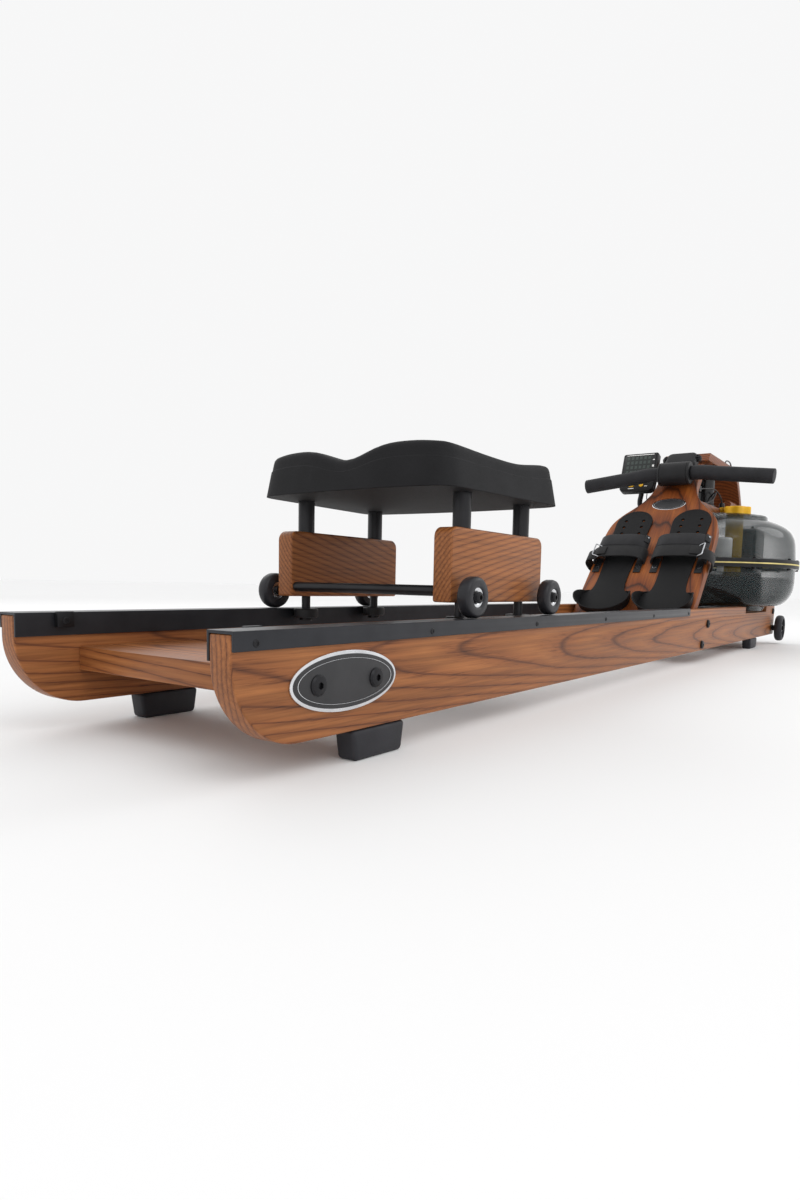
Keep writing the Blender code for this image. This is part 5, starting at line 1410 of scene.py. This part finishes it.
reservoir_outline = arc((2.010, 0.320), 0.020, 0, 90, 8) + arc(
    (1.925, 0.315), 0.025, 90, 180, 8
) + [(1.900, 0.2125), (2.030, 0.2125)]
reservoir = plate("level_reservoir", reservoir_outline, 0.070, upright(-0.105), 0.010, 4)
dress(reservoir, reservoir_smoke, "frame", "smoky_tank", smooth=40)
drain_line = from_rear(
    (
        (2.034, -0.105, 0.215), (2.040, -0.108, 0.260), (2.036, -0.110, 0.305), (2.015, -0.112, 0.338),
        (1.985, -0.112, 0.347)
    )
)
drain = tube("drain_tube", drain_line, 0.0045)
dress(drain, cap_plastic, "frame", "black_plastic", smooth=60)
# White for the printed marks, and also for the painted highlight strip along the top of the monitor's bezel.
mark_and_highlight_white = rubber("mark_and_highlight_white", (0.80, 0.80, 0.78, 1), 0.5, 300.0, 0.05)
marks = []
for height, spread in ((0.2125, 7), (0.2030, 10), (0.1935, 7)):
    start = math.radians(-72)
    turns = [start + math.radians(spread * k / 12) for k in range(13)]
    outer = [(0.25045 * math.cos(t), 0.25045 * math.sin(t)) for t in turns]
    inner = [(0.25012 * math.cos(t), 0.25012 * math.sin(t)) for t in reversed(turns)]
    marks.append(
        plate(f"level_mark_{height}", outer + inner, 0.0016, Matrix.Translation((REAR_X + TANK_X, 0, height)))
    )
dress(named_as(join(*marks), "level_marks"), mark_and_highlight_white, "frame", "pale_plastic")


# Level knob: a seven-lobed yellow knob on the lid, turning a hollow amber column that reaches down to the ring wall.
knob_yellow = rubber("knob_yellow", (0.72, 0.40, 0.018, 1), 0.34, 400.0, 0.08)
knob_axis = Matrix.Translation((REAR_X + TANK_X, KNOB_Y, 0))
lobes = [(KNOB_RADIUS + 0.0035 * math.cos(7 * t), t) for t in (2 * math.pi * k / 140 for k in range(140))]
knob_outline = [(r * math.cos(t), r * math.sin(t)) for r, t in lobes]
knob = plate("level_knob", knob_outline, 0.027, knob_axis @ Matrix.Translation((0, 0, 0.3820)), 0.0028, 3)
knob_crown = lathe(
    "knob_crown",
    [(0.030, 0.3953), (0.030, 0.3968), (0.0285, 0.3975), (0.018, 0.3975), (0.0165, 0.3968), (0.0165, 0.3953)],
    knob_axis, 48, True
)
dress(
    named_as(join(knob, knob_crown), "level_knob_piece"), knob_yellow, "selector", "knob_yellow", "selector_knob",
    smooth=40
)
amber = clear_plastic("amber_plastic", (0.50, 0.33, 0.03, 1), 0.66, 0.92, 0.15)
column_profile = [(0.0240, 0.3685), (0.0240, 0.1865), (0.0225, 0.1850), (0.0215, 0.1850), (0.0215, 0.3685)]
column = lathe("level_column", column_profile, knob_axis, 48, True)
dress(column, amber, "selector", "knob_yellow")


# Monitor: a slim black case on a bent tube, with a segment display in its upper half and two yellow keys below. It tilts
# on a pin between two ears.
CONSOLE_TILT = math.radians(18)
CONSOLE_DEPTH = 0.024
PIN_BEHIND = 0.026
tilt_only = Matrix.Rotation(CONSOLE_TILT, 4, "Y")
pin_place = Vector((REAR_X + 1.655, 0.125, 0.474)) + tilt_only.to_3x3() @ Vector((PIN_BEHIND, 0, 0))
console_frame = Matrix.Translation(pin_place) @ tilt_only @ Matrix.Translation((-PIN_BEHIND, 0, 0))
console_front = console_frame @ Matrix(
    ((0, 0, -1), (-1, 0, 0), (0, 1, 0))
).to_4x4() @ Matrix.Translation((0, 0, CONSOLE_DEPTH / 2))


def on_console(x, y, height=0.0):
    return console_front @ Matrix.Translation((x, y, height))


case_outline = (
    arc((0.0430, 0.0500), 0.006, 0, 90, 6)
    + arc((-0.0430, 0.0500), 0.006, 90, 180, 6)
    + [(-0.0490, -0.0180)]
    + arc((-0.0350, -0.0430), 0.013, 180, 262, 6)
    + arc((0.0350, -0.0430), 0.013, 278, 360, 6)
    + [(0.0490, -0.0180)]
)
case = plate("monitor_case", case_outline, CONSOLE_DEPTH, on_console(0, 0, -CONSOLE_DEPTH / 2), 0.0042, 5)
ears = []
for side in (-1, 1):
    ear_outline = [(0.009, -0.009)] + arc((PIN_BEHIND, 0), 0.009, -90, 90, 10) + [(0.009, 0.009)]
    ear_place = console_frame @ Matrix.Translation((0, side * 0.012, 0)) @ Matrix.Rotation(math.radians(90), 4, "X")
    ears.append(plate(f"monitor_ear_{side + 1}", ear_outline, 0.004, ear_place, 0.0006))
dress(
    named_as(join(case, *ears), "monitor_case_piece"), cap_plastic, "console", "black_plastic", "console_housing",
    smooth=40
)
bezel_outline = rectangle(-0.0435, -0.0145, 0.0435, 0.0515)
bezel = plate("monitor_bezel", bezel_outline, 0.0016, on_console(0, 0, 0.0006), 0.0006)
dress(bezel, gloss_black, "console", "black_plastic")


def display():
    """A dark reflective display with faint rows and columns of unlit segments."""
    made, add, into, place = new_material("segment_display")
    column = add("ShaderNodeTexWave", {"bands_direction": "Y"}, Vector=place, Scale=27.0).outputs["Fac"]
    row = add("ShaderNodeTexWave", {"bands_direction": "Z"}, Vector=place, Scale=24.0).outputs["Fac"]
    columns = greys(add, column, (0.25, 0), (0.45, 1))
    rows = greys(add, row, (0.22, 0), (0.40, 1))
    both = maths(add, "MULTIPLY", columns, rows)
    grain = noise(add, place, 500.0, 2.0)
    seen = maths(add, "MULTIPLY", both, grain)
    into("Base Color", shades(add, seen, [(0.0, (0.010, 0.014, 0.013, 1)), (0.6, (0.050, 0.068, 0.060, 1))]))
    into("Roughness", greys(add, grain, (0.3, 0.12), (0.7, 0.2)))
    return made


screen = plate(
    "monitor_display", rectangle(-0.0400, -0.0115, 0.0345, 0.0460), 0.0006, on_console(0, 0, 0.0015), 0.0001
)
dress(screen, display(), "console", "black_plastic")
legends_and_highlight = []
# The long thin strip at the top of the bezel (0.0, 0.0492) is a painted highlight in white, standing for light along
# the bezel's top edge; the other small plates are printed legends.
for number, (x, y, half_x, half_y) in enumerate(
    (
        (0.0388, 0.0330, 0.0024, 0.0014), (0.0390, 0.0150, 0.0026, 0.0030), (-0.0140, -0.0485, 0.0080, 0.0009),
        (0.0265, -0.0430, 0.0040, 0.0009), (0.0, 0.0492, 0.0380, 0.0008), (-0.0400, -0.0070, 0.0015, 0.0012)
    )
):
    legends_and_highlight.append(
        plate(
            f"monitor_mark_{number}", rectangle(x - half_x, y - half_y, x + half_x, y + half_y), 0.0004,
            on_console(0, 0, 0.0016 if y > -0.02 else 0.0001), 0.0
        )
    )
dress(named_as(join(*legends_and_highlight), "monitor_marks_and_highlight"), mark_and_highlight_white, "console", "pale_plastic")
for side_name, x, half in (("left", -0.014, (0.0090, 0.0046)), ("right", 0.014, (0.0062, 0.0050))):
    key = plate(side_name + "_key", oval(*half, 40), 0.0050, on_console(x, -0.040, 0.0003), 0.0012, 3)
    dress(key, knob_yellow, side_name + "_button", "knob_yellow", side_name + "_console_button")
arm_line = from_rear(
    (
        (1.7197, 0.0523, 0.379), (1.7197, 0.0703, 0.379), (1.7137, 0.088, 0.3775), (1.7107, 0.112, 0.378),
        (1.7047, 0.132, 0.386), (1.6997, 0.136, 0.402), (1.6967, 0.132, 0.422), (1.6877, 0.126, 0.447)
    )
) + [tuple(pin_place)]
arm = tube("monitor_arm", arm_line, 0.007, 4, 6)
pin = lathe(
    "monitor_pin",
    [(0, 0.0097), (0.0068, 0.0097), (0.0075, 0.0090), (0.0075, -0.0090), (0.0068, -0.0097), (0, -0.0097)],
    along(pin_place, (0, 1, 0)), 32
)
dress(named_as(join(arm, pin), "monitor_arm_piece"), post_black, "frame", "black_steel", "console_arm", smooth=60)
cable_line = from_rear(
    (
        (1.7197, 0.068, 0.3905), (1.716, 0.100, 0.396), (1.708, 0.118, 0.408), (1.698, 0.116, 0.424),
        (1.688, 0.113, 0.438)
    )
)
cable = tube("monitor_cable", cable_line, 0.0013)
dress(cable, cap_plastic, "frame", "black_plastic", smooth=60)


# Return cord: braided elastic from the drum, through the base board and under the machine to the rear crossboard. It is
# stretched over its whole length, and winds the belt back.
CORD_LINE = (
    (1.872, -0.0278, 0.4400), (1.850, -0.0300, 0.4280), (1.810, -0.0300, 0.4080), (1.740, -0.0220, 0.3965),
    (1.640, -0.0160, 0.3965), (1.616, -0.0160, 0.3945), (1.608, -0.0160, 0.3860), (1.608, -0.0160, 0.3640),
    (1.585, -0.0140, 0.3200), (1.540, -0.0100, 0.2400), (1.490, -0.0050, 0.1500), (1.440, 0.0000, 0.0800),
    (1.360, 0.0000, 0.0300), (1.250, 0.0000, 0.0150), (0.800, 0.0000, 0.0300), (0.300, 0.0000, 0.0500),
    (0.150, 0.0000, 0.0540),
)
cord_web = webbing("cord_braid", (0.013, 0.013, 0.014, 1))
return_cord = tube("return_cord", from_rear(CORD_LINE), 0.003, 4, 3)
dress(return_cord, cord_web, "frame", "webbing", "shock_cord", smooth=60)
